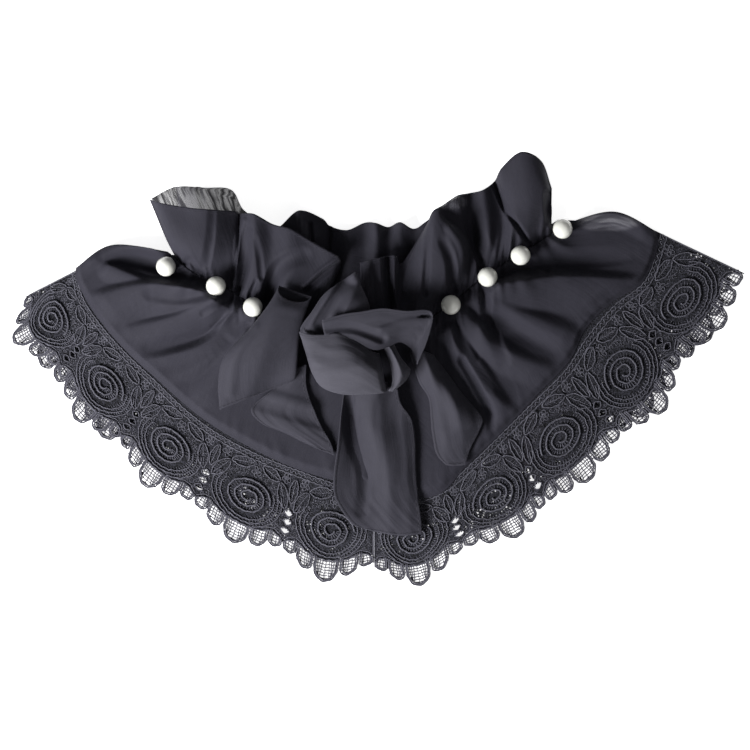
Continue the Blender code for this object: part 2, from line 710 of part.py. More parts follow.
def pearl(name, place, parts):
    """A round bead at its place on the gathering line, above everything until it is set down."""
    bm = bmesh.new()
    radius = PEARL_DIAMETER / 2
    bmesh.ops.create_uvsphere(bm, u_segments=PEARL_SEGMENTS, v_segments=PEARL_RINGS, radius=radius)
    bmesh.ops.translate(bm, verts=bm.verts, vec=(place.x, place.y, CLEAR_ABOVE))
    return finish_object(name, bm, PEARL, parts)


def evaluated_tree(piece):
    """A search tree of a piece with its modifiers, and its points, in metres."""
    graph = bpy.context.evaluated_depsgraph_get()
    graph.update()
    mesh = piece.evaluated_get(graph).to_mesh()
    points = [vertex.co.copy() for vertex in mesh.vertices]
    faces = [tuple(polygon.vertices) for polygon in mesh.polygons]
    piece.evaluated_get(graph).to_mesh_clear()
    return BVHTree.FromPolygons(points, faces), points


def set_down(piece, supports):
    """Lower a piece straight down until it rests just above the pieces below it."""
    tree, points = evaluated_tree(piece)
    down, up = Vector((0, 0, -1)), Vector((0, 0, 1))
    far = SEARCH_REACH * MM
    least = far
    for support in supports:
        below, below_points = evaluated_tree(support)
        for point in points:
            hit = below.ray_cast(point + up * far, down)[0]
            if hit:
                least = min(least, point.z - hit.z)
        for point in below_points:
            hit = tree.ray_cast(point + down * far, up)[0]
            if hit:
                least = min(least, hit.z - point.z)
    if least < far:
        drop = least - REST_GAP * MM
        for vertex in piece.data.vertices:
            vertex.co.z -= drop
    return piece


def build():
    """Make every piece, from the floor up."""
    for old in list(bpy.data.objects):
        bpy.data.objects.remove(old, do_unlink=True)
    parts = bpy.data.collections.new(COLLECTION)
    bpy.context.scene.collection.children.link(parts)

    # Back half on the floor
    lace("lace_back", BACK_LACE, REPEATS_BACK, 0.0, False, parts)
    back = cloth_grid(from_neck(BACK_NECK, BACK_NECK_X, BACK_PANEL, -1), BACK_PANEL_STEPS)
    back_panel = sheet("panel_back", back, CHIFFON, parts)
    back_rim = cloth_grid(from_neck(BACK_NECK, BACK_RUFFLE_NECK_X, BACK_RUFFLE, 1), BACK_RUFFLE_STEPS)
    sheet("ruffle_back", back_rim, CHIFFON, parts)

    # Front half over it
    lace_left = lace("lace_front_left", FRONT_LEFT_LACE, REPEATS_FRONT, FRONT_LACE_LIFT, True, parts)
    lace_right = lace("lace_front_right", FRONT_RIGHT_LACE, REPEATS_FRONT, FRONT_LACE_LIFT, True, parts)
    left = cloth_grid(from_neck(FRONT_NECK, FRONT_LEFT_NECK_X, FRONT_LEFT_PANEL, -1), FRONT_PANEL_STEPS)
    lift_folds(left, LEFT_FOLDS)
    panel_left = sheet("panel_front_left", left, CHIFFON, parts)
    right = cloth_grid(from_neck(FRONT_NECK, FRONT_RIGHT_NECK_X, FRONT_RIGHT_PANEL, -1), FRONT_PANEL_STEPS)
    lift_folds(right, RIGHT_FOLDS)
    panel_right = sheet("panel_front_right", right, CHIFFON, parts)
    rim = cloth_grid(from_neck(FRONT_NECK, LEFT_RUFFLE_NECK_X, LEFT_RUFFLE, 1), LEFT_RUFFLE_STEPS)
    ruffle_left = sheet("ruffle_front_left", rim, CHIFFON, parts)
    rim = cloth_grid(from_neck(FRONT_NECK, RIGHT_RUFFLE_NECK_X, RIGHT_RUFFLE, 1), RIGHT_RUFFLE_STEPS)
    ruffle_right = sheet("ruffle_front_right", rim, CHIFFON, parts)

    # Pearls on the gathering line
    below = [back_panel, lace_left, lace_right, panel_left, panel_right, ruffle_left, ruffle_right]
    for number, place in enumerate(PEARLS, start=1):
        below.append(set_down(pearl(f"pearl_{number}", place, parts), below))

    # Tie, each stretch set down on what is below it
    below.append(set_down(ribbon("tie_tail_right", RIGHT_TAIL, TAIL_STEPS, parts), below))
    below.append(set_down(ribbon("tie_tail_centre", CENTRE_TAIL, CENTRE_TAIL_STEPS, parts), below))
    below.append(set_down(ribbon("tie_tail_left", LEFT_TAIL, LEFT_TAIL_STEPS, parts), below))
    loop = tube("tie_loop_left", LEFT_LOOP, LEFT_LOOP_SIDES, LEFT_LOOP_STEPS, CHIFFON, parts)
    below.append(set_down(loop, below))
    below.append(set_down(ribbon("tie_loop_upper", UPPER_LOOP, UPPER_LOOP_STEPS, parts), below))
    below.append(set_down(ribbon("tie_petal_back", BACK_PETAL, BACK_PETAL_STEPS, parts), below))
    below.append(set_down(ribbon("tie_petal_outer", OUTER_PETAL, OUTER_PETAL_STEPS, parts), below))
    set_down(ribbon("tie_petal_inner", INNER_PETAL, INNER_PETAL_STEPS, parts), below)


build()
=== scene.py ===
"""Looks of a false collar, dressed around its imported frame.

A gathered chiffon flounce with a neck ruffle, a guipure lace hem, a tied bow, and pearls on the
gathering line. It is open at the centre front and lies flat on its back. Tables give millimetres
in the frame's axes: +Y is the neck side, +X the right of someone who looks down on it, +Z up.
"""

from __future__ import annotations

import logging
import math
from dataclasses import dataclass, field
from enum import Enum
from typing import NamedTuple, TypeVar

import bpy
import numpy as np
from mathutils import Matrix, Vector

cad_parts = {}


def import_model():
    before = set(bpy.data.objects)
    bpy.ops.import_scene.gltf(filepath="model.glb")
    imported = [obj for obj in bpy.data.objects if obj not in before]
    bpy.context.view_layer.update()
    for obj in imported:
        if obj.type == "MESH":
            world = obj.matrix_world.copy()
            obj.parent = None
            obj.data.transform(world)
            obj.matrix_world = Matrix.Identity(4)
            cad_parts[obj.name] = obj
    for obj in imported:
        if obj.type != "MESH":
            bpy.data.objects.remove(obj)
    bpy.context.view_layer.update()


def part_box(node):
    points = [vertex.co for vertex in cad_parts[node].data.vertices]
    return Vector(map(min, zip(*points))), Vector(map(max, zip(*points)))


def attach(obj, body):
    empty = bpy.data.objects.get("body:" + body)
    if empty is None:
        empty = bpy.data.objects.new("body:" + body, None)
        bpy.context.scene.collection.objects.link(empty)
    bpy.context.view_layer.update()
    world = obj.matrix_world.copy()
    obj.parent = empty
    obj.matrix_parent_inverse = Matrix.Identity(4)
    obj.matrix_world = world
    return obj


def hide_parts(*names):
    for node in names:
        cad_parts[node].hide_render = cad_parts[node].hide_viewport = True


log = logging.getLogger("collar")

MM = 0.001
BODY = "root"

# Walls, seams and the front laces' lift over the back lace, in millimetres
CHIFFON_WALL = 0.35
GROUND_WALL = 0.4
LACE_LIFT = 1.6
END_BAND = 3.0
NECK_SEAM_HALF = 0.12
NO_HEM = 99.0

TINY = 1e-9
Colour = tuple[float, float, float, float]
Row = TypeVar("Row")


class Held(Enum):
    """How a cloth is held."""

    LAID = "laid"
    GATHERED = "gathered"
    FOLDED = "folded"


class NeckPoint(NamedTuple):
    """A point of the gathering line."""

    x: float
    y: float
    z: float


class NeckRib(NamedTuple):
    """A rib of a cloth that starts on the gathering line."""

    neck_x: float
    middle_x: float
    middle_y: float
    middle_z: float
    hem_x: float
    hem_y: float
    hem_z: float


class Ring(NamedTuple):
    """A flattened ring of a tube: its two sides and its lower and upper height."""

    left_x: float
    left_y: float
    right_x: float
    right_y: float
    low: float
    high: float


class LaceRow(NamedTuple):
    """The lace's width at one place: its seam, its edge and the share of it that is carried."""

    seam_x: float
    seam_y: float
    edge_x: float
    edge_y: float
    carried: float


def rows(kind: type[Row], *values: tuple) -> list[Row]:
    """A table with named columns, from one tuple of values a row."""
    return [kind(*value) for value in values]


FRONT_NECK = rows(
    NeckPoint,
    (-108.5, 59.5, 6), (-96, 49, 9), (-83, 43, 10), (-64, 32, 11), (-42, 22, 11), (-4, 17, 11),
    (20, 23, 11), (35, 33, 11), (53, 47, 11), (70, 58, 10), (84, 67, 8), (92, 73, 6),
)
BACK_NECK = rows(
    NeckPoint,
    (-104, 58, 1.2), (-70, 49, 1.2), (-30, 40, 1.2), (5, 38, 1.2), (40, 47, 1.2), (70, 63, 1.2),
    (90, 76, 1.2),
)
FRONT_LEFT_PANEL = rows(
    NeckRib,
    (-108.4, -137, 62.6, 5.5, -155.6, 51.2, 5.2), (-106.5, -134, 55, 6.5, -154.8, 44, 5.2),
    (-103, -125, 39, 7, -146, 28, 5.2), (-96, -112, 23, 7, -131, 10, 5.2),
    (-87, -98, 12, 7, -113.3, -6.3, 5.2), (-77, -84, 2, 7, -93, -24, 5.2),
    (-66, -68, -6, 7, -70, -38.5, 5.2), (-50, -50, -12, 7, -46, -50, 5.2),
    (-25, -25, -18, 7, -24, -57, 5.2), (-4.2, -4.2, -20, 7, -4.5, -61, 5.2),
)
FRONT_RIGHT_PANEL = rows(
    NeckRib,
    (92, 118, 79.5, 5.5, 140.9, 69.1, 5.2), (91, 117, 68, 6.5, 140.3, 60, 5.2),
    (87, 112, 56, 7, 133, 44, 5.2), (81, 99, 46, 7, 117, 33.4, 5.2), (73, 88, 36, 7, 104, 20, 5.2),
    (65, 80, 24, 7, 96, 4, 5.2), (56, 68, 12, 7, 80, -13, 5.2), (47, 54, 0, 7, 62, -32, 5.2),
    (37, 40, -12, 7, 44, -49, 5.2), (22, 24, -20, 7, 29.4, -64, 5.2), (8, 9, -22, 7, 8, -66, 5.2),
    (-3, -3, -22, 7, -3.7, -64, 5.2),
)
BACK_PANEL = rows(
    NeckRib,
    (-104, -128, 58, 1.2, -153, 49.5, 1.2), (-101, -120, 42, 1.2, -139.5, 33.5, 1.2),
    (-94, -108, 30, 1.2, -123.5, 14.5, 1.2), (-80, -86, 20, 1.2, -99.5, -4.5, 1.2),
    (-60, -60, 14, 1.2, -69.5, -18.5, 1.2), (-32, -30, 8, 1.2, -35, -26.5, 1.2),
    (-2, -2, 5, 1.2, -3, -28.5, 1.2), (26, 28, 10, 1.2, 30, -26.5, 1.2),
    (46, 54, 20, 1.2, 60, -17.5, 1.2), (64, 78, 36, 1.2, 87.5, 0.5, 1.2),
    (78, 96, 50, 1.2, 109.5, 22.5, 1.2), (86, 108, 62, 1.2, 127.5, 42.5, 1.2),
    (90, 114, 74, 1.2, 139.5, 66, 1.2),
)
LEFT_RUFFLE = rows(
    NeckRib,
    (-104.5, -109, 66, 16, -117, 85, 17), (-100, -104, 63, 21, -110, 82.8, 24),
    (-92, -94, 61, 23, -95, 80.3, 27), (-82, -83, 60, 22, -83, 79.5, 26),
    (-75, -74.5, 60, 19, -73.6, 79.3, 21), (-71, -71, 58, 13, -71.5, 78.4, 14),
    (-66, -64, 56, 19, -64, 77.6, 22), (-59, -56, 52, 16, -54.5, 72.6, 18),
    (-52, -48, 49, 19, -45, 69.9, 21), (-46, -38, 43, 17, -33, 62.6, 19),
    (-41, -31, 40, 16, -21.4, 56.1, 17), (-38, -29, 34, 10, -21, 51, 11),
)
RIGHT_RUFFLE = rows(
    NeckRib,
    (-4, -10, 38, 16, -11, 53.4, 15), (-1, -2, 41, 19, -2, 55.6, 19),
    (2.5, 5.5, 42, 18, 6.9, 56.8, 18), (6, 9, 41, 12, 10.4, 53.3, 12),
    (9, 13.5, 50, 14, 22, 71.5, 15), (16, 22, 52, 23, 25.6, 78.8, 24), (27, 33, 54, 24, 31, 82, 24),
    (36, 41, 59, 20, 38, 87, 19), (41, 46, 62, 11, 44, 88.6, 12), (48, 53, 66, 16, 51, 90, 17),
    (58, 61, 73, 12, 57, 94.5, 13), (65, 65, 77, 20, 60.5, 101, 21),
    (73, 74, 84, 25, 70, 108.6, 25), (81, 82, 88, 23, 80.5, 104, 22),
    (86.5, 86, 80, 14, 86, 91, 14),
)
BACK_RUFFLE = rows(
    NeckRib,
    (-103.5, -110, 71, 9, -116.3, 86, 12.5), (-98, -101, 74, 4.5, -105, 92.3, 4.5),
    (-88, -90, 72, 5.5, -90, 92, 3.5), (-78, -77, 70, 4.5, -76.7, 91, 5),
    (-70, -71, 64, 6, -70.5, 81, 8), (-60, -60, 60, 4, -61, 75, 4), (-50, -51, 57, 4, -53, 71.6, 4),
    (-40, -42, 60, 8, -42, 80, 10), (-31, -31, 58, 4.5, -30.4, 76.4, 5),
    (-24, -25, 55, 3.5, -26, 72.4, 3.5), (-16, -17, 54, 7, -17.3, 70.3, 8),
    (-8, -8.5, 56, 5, -8.5, 74, 6), (-2, -2.6, 55, 8, -2.6, 73.7, 9), (4, 3.5, 54, 4, 3.5, 72, 4),
    (10, 9.4, 56, 7, 9.4, 74.2, 8), (18, 16.4, 56, 4, 16.4, 71.1, 4), (27, 25, 60, 6, 23, 75, 6),
    (38, 37, 66, 4, 37, 86, 4), (50, 49, 72, 6, 48, 89, 5.5), (62, 60, 79, 4, 58, 94, 4),
    (72, 72, 88, 5.5, 70, 106, 5), (80, 80, 88, 4, 80, 101, 4), (85.5, 84.5, 82, 8, 84.5, 90, 10.5),
)

# Ties: each row is one rib across the ribbon, as points from its left side to its right side
RIGHT_TAIL = [
    ((14, 8, 16), (20, 9, 20), (26.2, 7, 15)),
    ((18.9, -6.9, 12), (27, -4, 19), (34.3, -3.6, 11)),
    ((23.7, -15, 9), (33, -14, 17), (40.8, -12.5, 9)),
    ((25, -27, 7.5), (38, -26, 14), (50.6, -24, 7.5)),
    ((25.6, -33, 7), (37, -33, 12), (50.3, -30, 7)),
    ((27.8, -43.4, 6.5), (36.5, -43, 9), (45, -41, 6.5)),
    ((32.7, -49.1, 6), (37, -49.5, 7), (42.4, -49.1, 6)),
]
CENTRE_TAIL = [
    ((-19, -10, 16), (-14, -10, 17), (-3, -9, 20), (8, -10, 16)),
    ((-19.7, -17.4, 14), (-15.5, -20, 11), (-5, -18, 18), (10, -18, 14)),
    ((-21, -28, 13), (-14.5, -28, 8), (-4, -28, 16), (15.5, -26, 10)),
    ((-22.2, -39.4, 12), (-12, -39.4, 7.5), (0, -39, 15), (17.3, -38, 9)),
    ((-24.3, -55, 10), (-8.5, -55.7, 7), (5, -54, 13), (17.5, -52, 8)),
    ((-23.5, -66, 8.5), (-8, -65.4, 7), (6, -66, 11), (18.8, -66, 7)),
    ((-15.6, -78.3, 7), (-6, -75, 7), (8, -77, 9), (20.3, -77, 6)),
    ((-9, -81.5, 6), (-3, -83, 6), (9.4, -85, 7), (20.5, -84.1, 5.5)),
]
LEFT_TAIL = [
    ((-47, -1, 14), (-43, 0, 15), (-38, 2, 14)),
    ((-54.4, -10, 9), (-46, -9, 11), (-38, -9, 10)),
    ((-66, -20, 8), (-50, -20, 10), (-34, -21, 9)),
    ((-61, -27.8, 7), (-46, -29, 9.5), (-30, -30, 8.5)),
    ((-50, -32.5, 6.5), (-38, -36, 8), (-25.5, -38, 7.5)),
    ((-41, -37, 6), (-32, -41, 7), (-23.8, -44.2, 6.5)),
]
UPPER_LOOP = [
    ((-40, 14, 13), (-30, 10, 15), (-18, 6, 14)),
    ((-41, 20, 16), (-27, 18, 21), (-12, 14, 16)),
    ((-34.6, 29, 20), (-22, 27, 25), (-7, 24, 19)),
    ((-28.9, 37.1, 21), (-18.5, 36, 26), (-6, 31, 20)),
    ((-21, 43, 21), (-16, 43, 23), (-10, 41, 20)),
    ((-13.5, 48.2, 20), (-12.8, 48, 20.5), (-12, 47, 20)),
]
OUTER_PETAL = [
    ((-41.5, 18.4, 27), (-40, 14, 26.5), (-38, 8, 24), (-35, 7, 20)),
    ((-36, 17, 30), (-34.5, 6, 32), (-35, -2, 27), (-30, -1, 20)),
    ((-28, 17, 32), (-26, 3, 36), (-30, -9.2, 29), (-24, -6, 19)),
    ((-21.6, 17.6, 33), (-17, 2, 38), (-20, -12.7, 29), (-16, -8, 18)),
    ((-13, 14, 32), (-9, 0, 38), (-8, -12.8, 29), (-7, -8, 18)),
    ((-5, 8.8, 30), (-2, -2, 35), (0.5, -12.3, 27), (1, -7, 18)),
    ((-1, 7.5, 27), (1, -3, 30), (2.6, -11, 24), (3, -7, 18)),
]
INNER_PETAL = [
    ((1.5, 21, 30), (2.2, 20.8, 30.5), (3.5, 20.8, 29.5)),
    ((-1.1, 13.6, 30), (2, 14, 34), (6, 13, 29)),
    ((1, 10, 31), (5, 9, 36), (9.5, 6, 29)),
    ((3.8, 3.5, 32), (8.5, 2, 37), (13, 1.5, 28)),
    ((5.3, -4.7, 31), (10, -4, 35), (14.6, -1, 26)),
    ((5, -8, 28), (8.5, -8, 30), (12.5, -6, 23)),
    ((3.4, -11.5, 24), (5.5, -11.6, 25), (8, -10, 21)),
]
BACK_PETAL = [
    ((-29.7, 24.1, 27.5), (-29.5, 21, 27), (-28.5, 16.5, 25.5)),
    ((-19, 27, 28.5), (-17.5, 22.5, 27.5), (-16, 15, 26)),
    ((-10.2, 28.2, 29), (-8, 22, 28), (-5, 9.5, 26)),
    ((0.4, 29.8, 29.5), (1, 22, 28), (1.5, 10, 25)),
    ((12, 28.5, 29), (11, 22, 26.5), (9, 13, 22)),
    ((24.8, 28.2, 27), (20, 19, 24.5), (14.5, 10, 19)),
    ((23.2, 16, 28), (19.5, 12, 23), (16, 6, 17)),
    ((17.5, 2, 24), (17.4, 3.5, 20), (17, 4.5, 17)),
]
LEFT_LOOP = rows(
    Ring,
    (-51.4, 41.5, -35, 36, 16.5, 22), (-56.6, 32.5, -38, 28, 14, 25),
    (-66.8, 19.5, -41, 18, 11, 25), (-79, 6.5, -42, 8, 9, 22), (-82.4, -6.4, -43, -3, 8.5, 17),
    (-81.8, -21, -45, -6.5, 8, 12),
)

FRONT_LEFT_LACE = rows(
    LaceRow,
    (-155, 50, -180.5, 37, 1.5), (-151, 36, -181, 18, 1.5), (-141, 21, -165, 1, 1.4),
    (-128, 7, -151, -20, 1.4), (-113, -7, -133.5, -35.5, 1.4), (-97, -22, -117, -53, 1.3),
    (-80, -34, -96, -67, 1.1), (-60, -44, -74, -81, 0.85), (-42, -51, -51, -90.5, 0.7),
    (-22, -58, -28.5, -101, 0.6), (-3.85, -62, -3.85, -98.5, 0.55),
)
FRONT_RIGHT_LACE = rows(
    LaceRow,
    (141.3, 69.2, 184.3, 48.8, 1.5), (134, 46, 168, 26, 1.5), (118, 33, 152.5, 5.5, 1.4),
    (104, 17, 139, -16, 1.4), (93, 0, 122, -32.5, 1.3), (77, -16, 102, -50.5, 1.2),
    (62, -31, 84, -67, 1.0), (47, -46, 66, -79, 0.85), (31, -60, 42, -90.5, 0.7),
    (12, -66, 18.5, -103, 0.55), (-3.75, -64, -3.75, -101, 0.5),
)
BACK_LACE = rows(
    LaceRow,
    (-154, 49, -180, 34, 0), (-140, 33, -165, 1, 0), (-124, 14, -145, -23, 0),
    (-100, -5, -116, -42, 0), (-70, -19, -80, -57, 0), (-35, -27, -40, -66, 0),
    (-3, -29, -3, -68, 0), (30, -27, 36, -66, 0), (60, -18, 74, -54, 0), (88, 0, 108, -36, 0),
    (110, 22, 138, -10, 0), (128, 42, 157, 13, 0), (140, 66, 178, 46, 0),
)


def catmull(points: np.ndarray, places: np.ndarray) -> np.ndarray:
    """Points of a smooth curve.

    Args:
        points: The control points, with the first axis along the curve.
        places: Places along the curve, counted in control points.

    Returns:
        One point for each place.
    """
    step = np.clip(np.floor(places).astype(int), 0, len(points) - 2)
    share = (places - step).reshape((-1,) + (1,) * (points.ndim - 1))
    ends = np.concatenate([2 * points[:1] - points[1:2], points, 2 * points[-1:] - points[-2:-1]])
    before, first, second, after = (ends[step + k] for k in range(4))
    slope_in = (second - before) / 2
    slope_out = (after - first) / 2
    square = share**2
    cube = share**3
    return (
        first * (2 * cube - 3 * square + 1)
        + slope_in * (cube - 2 * square + share)
        + second * (3 * square - 2 * cube)
        + slope_out * (cube - square)
    )


def stations(lengths: np.ndarray, count: int) -> np.ndarray:
    """Places, counted in control points, that are evenly spaced along the given lengths.

    Args:
        lengths: The length of each span between control points.
        count: How many steps to take.

    Returns:
        count + 1 places.
    """
    ends = np.concatenate([[0.0], np.cumsum(lengths)])
    return np.interp(np.linspace(0.0, ends[-1], count + 1), ends, np.arange(len(ends)))


def cloth_grid(lines: list[np.ndarray], across: int, along: int) -> np.ndarray:
    """A grid of points on the smooth cloth through some ribs.

    Args:
        lines: The ribs, each an array of points.
        across: Steps from the first rib to the last.
        along: Steps along each rib.

    Returns:
        An array of (across + 1, along + 1, 3) points.
    """
    fine = []
    for line in lines:
        lengths = np.linalg.norm(np.diff(line, axis=0), axis=1)
        fine.append(catmull(line, stations(lengths, along)))
    stack = np.stack(fine)
    lengths = np.linalg.norm(np.diff(stack, axis=0), axis=2).mean(axis=1)
    return catmull(stack, stations(lengths, across))


def neck_points(neck: list[NeckPoint], xs: np.ndarray) -> np.ndarray:
    """The points of the gathering line at some values of x."""
    table = np.array(neck, float)
    return catmull(table, np.interp(xs, table[:, 0], np.arange(len(table))))


def ribs_from_neck(neck: list[NeckPoint], ribs: list[NeckRib], side: int) -> list[np.ndarray]:
    """Ribs that start beside the gathering line.

    Args:
        neck: The gathering line.
        ribs: The table of ribs.
        side: 1 for the ruffle's side of the line and -1 for the flounce's side.

    Returns:
        An array of three points for each rib.
    """
    starts = neck_points(neck, np.array([rib.neck_x for rib in ribs]))
    runs = np.gradient(starts, axis=0)
    away = np.stack([-runs[:, 1], runs[:, 0], np.zeros(len(runs))], axis=1)
    away /= np.linalg.norm(away, axis=1, keepdims=True)
    away[away[:, 1] < 0] *= -1
    starts = starts + away * side * NECK_SEAM_HALF
    return [np.array([start, rib[1:4], rib[4:7]]) for start, rib in zip(starts, ribs)]


def grid_lengths(grid: np.ndarray) -> tuple[np.ndarray, np.ndarray]:
    """How far each grid point lies along its row and along its rib, in the grid's unit.

    Args:
        grid: The cloth's points.

    Returns:
        The lengths across the ribs and down the ribs.
    """
    across = np.zeros(grid.shape[:2])
    across[1:] = np.cumsum(np.linalg.norm(np.diff(grid, axis=0), axis=2), axis=0)
    down = np.zeros(grid.shape[:2])
    down[:, 1:] = np.cumsum(np.linalg.norm(np.diff(grid, axis=1), axis=2), axis=1)
    return across, down


def smooth(value: np.ndarray | float, low: float, high: float) -> np.ndarray:
    """0 below low, 1 above high, and a soft step between them."""
    share = np.clip((np.asarray(value, float) - low) / (high - low), 0.0, 1.0)
    return share * share * (3 - 2 * share)


class Crease(NamedTuple):
    """A soft ridge over a cloth along a path in plan, or a trough where its height is negative.

    Its widths are those of its slopes left and right of the path's direction.
    """

    path: tuple[tuple[float, float], ...]
    start: float
    end: float
    left: float
    right: float

    def lift(self, plan: np.ndarray) -> np.ndarray:
        """How far the crease lifts each point of a plan.

        Args:
            plan: The x and y of each point, in millimetres.

        Returns:
            One height for each point.
        """
        spans = len(self.path) - 1
        line = catmull(np.array(self.path, float), np.linspace(0, spans, 7 * spans + 1))
        first, run = line[:-1], np.diff(line, axis=0)
        offset = plan[..., None, :] - first
        share = np.clip((offset * run).sum(-1) / (run**2).sum(-1), 0.0, 1.0)
        gap = offset - share[..., None] * run
        distance = np.linalg.norm(gap, axis=-1)
        nearest = distance.argmin(-1)[..., None]
        side = run[:, 0] * gap[..., 1] - run[:, 1] * gap[..., 0]
        side /= np.maximum(np.linalg.norm(run, axis=1) * distance, TINY)
        side = np.take_along_axis(side, nearest, -1)[..., 0]
        share = np.take_along_axis(share, nearest, -1)[..., 0]
        distance = np.take_along_axis(distance, nearest, -1)[..., 0]
        place = (nearest[..., 0] + share) / len(run)
        width = (self.left + self.right) / 2 + (self.left - self.right) / 2 * side
        profile = np.clip(1 - (distance / width) ** 2, 0.0, None) ** 2
        return (self.start + (self.end - self.start) * place) * profile


def lift_together(creases: list[Crease], plan: np.ndarray) -> np.ndarray:
    """Creases that run into each other softly: the lift of all of them at each point.

    Args:
        creases: The creases.
        plan: The x and y of each point, in millimetres.

    Returns:
        One height for each point.
    """
    ridges = np.zeros(plan.shape[:-1])
    troughs = np.zeros(plan.shape[:-1])
    for crease in creases:
        lift = crease.lift(plan)
        ridges += np.clip(lift, 0.0, None) ** 4
        troughs += np.clip(-lift, 0.0, None) ** 4
    return ridges**0.25 - troughs**0.25


def kept_above(height: np.ndarray, floor: float, softness: float = 0.5) -> np.ndarray:
    """Heights that are pressed softly up where they would go below a floor."""
    return floor + softness * np.logaddexp(0.0, (height - floor) / softness)


# Creases of the cloths, as they lie in the photograph: ridges rise and troughs are negative
LEFT_PANEL_CREASES = rows(
    Crease,
    (((-108, 61), (-130, 62), (-153, 53)), 6.0, 1.5, 6, 6),
    (((-88, 38), (-120, 42), (-150, 34)), 13.5, 2.0, 20, 5),
    (((-84, 34), (-104, 26), (-126, 20)), 11.5, 1.5, 14, 5),
    (((-74, 31), (-88, 13), (-114, 4)), 10.0, 1.5, 16, 5),
    (((-64, 26), (-78, 4), (-90, -14)), 7.0, 1.5, 12, 9),
    (((-147.7, 54.3), (-134.4, 60.4), (-118.1, 60.9), (-107.9, 59.4)), 1.5, 4.0, 4, 3.5),
    (((-137.5, 51.7), (-127.8, 47.7), (-118.6, 44.3), (-105.3, 43.1), (-91.1, 41.5)),
     3.0, 4.0, 3, 9),
    (((-86, 36.4), (-94.1, 31.8), (-104.3, 28.3), (-114, 30.3)), 3.0, 1.5, 7, 3),
    (((-140.5, 55.8), (-132.4, 54.8), (-123.2, 53), (-109.4, 49.7), (-100.2, 47.7), (-91.1, 45.6)),
     -1.0, -9.0, 8, 3.5),
    (((-86, 39), (-94.6, 36.5), (-104, 35.5), (-116, 37)), -5.5, -1.5, 4.5, 7),
    (((-76.3, 35.4), (-82.9, 31.8), (-90, 27.8)), -3.0, -1.0, 2.2, 2.2),
    (((-73.2, 33.9), (-77.8, 26.7), (-85.5, 21.1)), -3.4, -1.2, 2, 2.4),
    (((-70.7, 33.4), (-73.7, 25.7), (-81.9, 19.1), (-94.1, 15), (-106.4, 13), (-117.6, 11.9)),
     -5.5, -1.0, 9, 5),
    (((-80, 16), (-94.6, 7), (-112, 0), (-122, -2)), -3.0, -0.4, 7, 7),
    (((-62, 24), (-66, 8), (-72, -8)), -3.0, -1.5, 4, 3),
)
RIGHT_PANEL_CREASES = rows(
    Crease,
    (((139, 69), (118, 79), (94, 76)), 2.0, 6.0, 8, 6),
    (((128, 44), (92, 46), (60, 42)), 3.0, 12.0, 20, 5),
    (((102, 14), (74, 26), (50, 36)), 2.0, 8.0, 13, 8),
    (((90, -4), (62, 9), (40, 28)), 2.0, 8.0, 12, 7),
    (((66, -24), (52, -8), (36, 20)), 3.0, 7.0, 9, 6),
    (((58.9, 43.1), (68, 45.1), (81.8, 46.6), (97.6, 46.6), (111.4, 45.6)), 3.5, 1.0, 3, 10),
    (((41.5, 33.4), (45.1, 25.2), (51.2, 16.5), (57.3, 8.4)), 2.6, 1.2, 2, 2),
    (((60.4, 34.9), (75.7, 28.3), (93.5, 19.6)), 2.0, 1.0, 6, 6),
    (((49.2, 3.3), (56.3, -7.9), (64.5, -21.2)), 2.4, 1.5, 4, 4),
    (((59.4, 46.6), (68, 50.7), (81.8, 52.8), (98.7, 53.5), (114.5, 54.3), (126.7, 56.3)),
     -8.5, -0.5, 9, 3.5),
    (((78.8, 54.3), (81.3, 51.2), (84.4, 48.7)), -3.0, -2.0, 2, 2),
    (((50.2, 39.5), (53.3, 31.3), (56.3, 20.6), (63, 4)), -6.5, -1.0, 3.5, 6),
    (((35.9, 28.8), (38, 19.6), (43.1, 8.4), (54, -10)), -6.0, -1.0, 3.5, 4),
    (((58, 27), (75.7, 16.5), (94, 8)), -4.0, -0.5, 6, 7),
    (((41, 4.3), (48.2, -8.4), (54.8, -21.2), (56.3, -32.4)), -4.0, -2.5, 3, 3.5),
)
LEFT_RUFFLE_CREASES = rows(
    Crease,
    (((-69.6, 74.7), (-72.2, 65.5), (-73.2, 54.3)), 2.0, 1.0, 2.6, 2.6),
    (((-21, 56.3), (-31, 49), (-39.3, 41.7)), 1.8, 1.2, 2, 2),
    (((-73.2, 80.8), (-73.7, 60.4), (-76.8, 43.1)), -3.6, -5.0, 2.2, 14),
    (((-102.3, 49.7), (-99.2, 53.3), (-96.2, 54.3), (-93.1, 49.2)), -3.0, -3.0, 2.4, 2.4),
    (((-67.1, 70.6), (-68.1, 54.8), (-70.7, 44.1), (-74.2, 37.5)), -0.8, -6.0, 3.2, 3.2),
    (((-63.5, 65), (-61.5, 56.3), (-60.5, 46)), -0.6, -1.4, 2.4, 2.4),
    (((-63.5, 43.6), (-65.1, 40), (-67.1, 35.9)), -2.0, -3.5, 1.8, 1.8),
    (((-40, 57.5), (-46.7, 55.3), (-51.8, 51.2), (-55.4, 45.1), (-58.5, 33)), -1.5, -7.0, 6.5, 4.5),
    (((-19.5, 54.8), (-29, 48.6), (-38.5, 40)), -2.6, -2.6, 3.2, 1.3),
    (((-84, 79), (-85, 66), (-88, 52)), -1.2, -2.0, 3, 4),
)
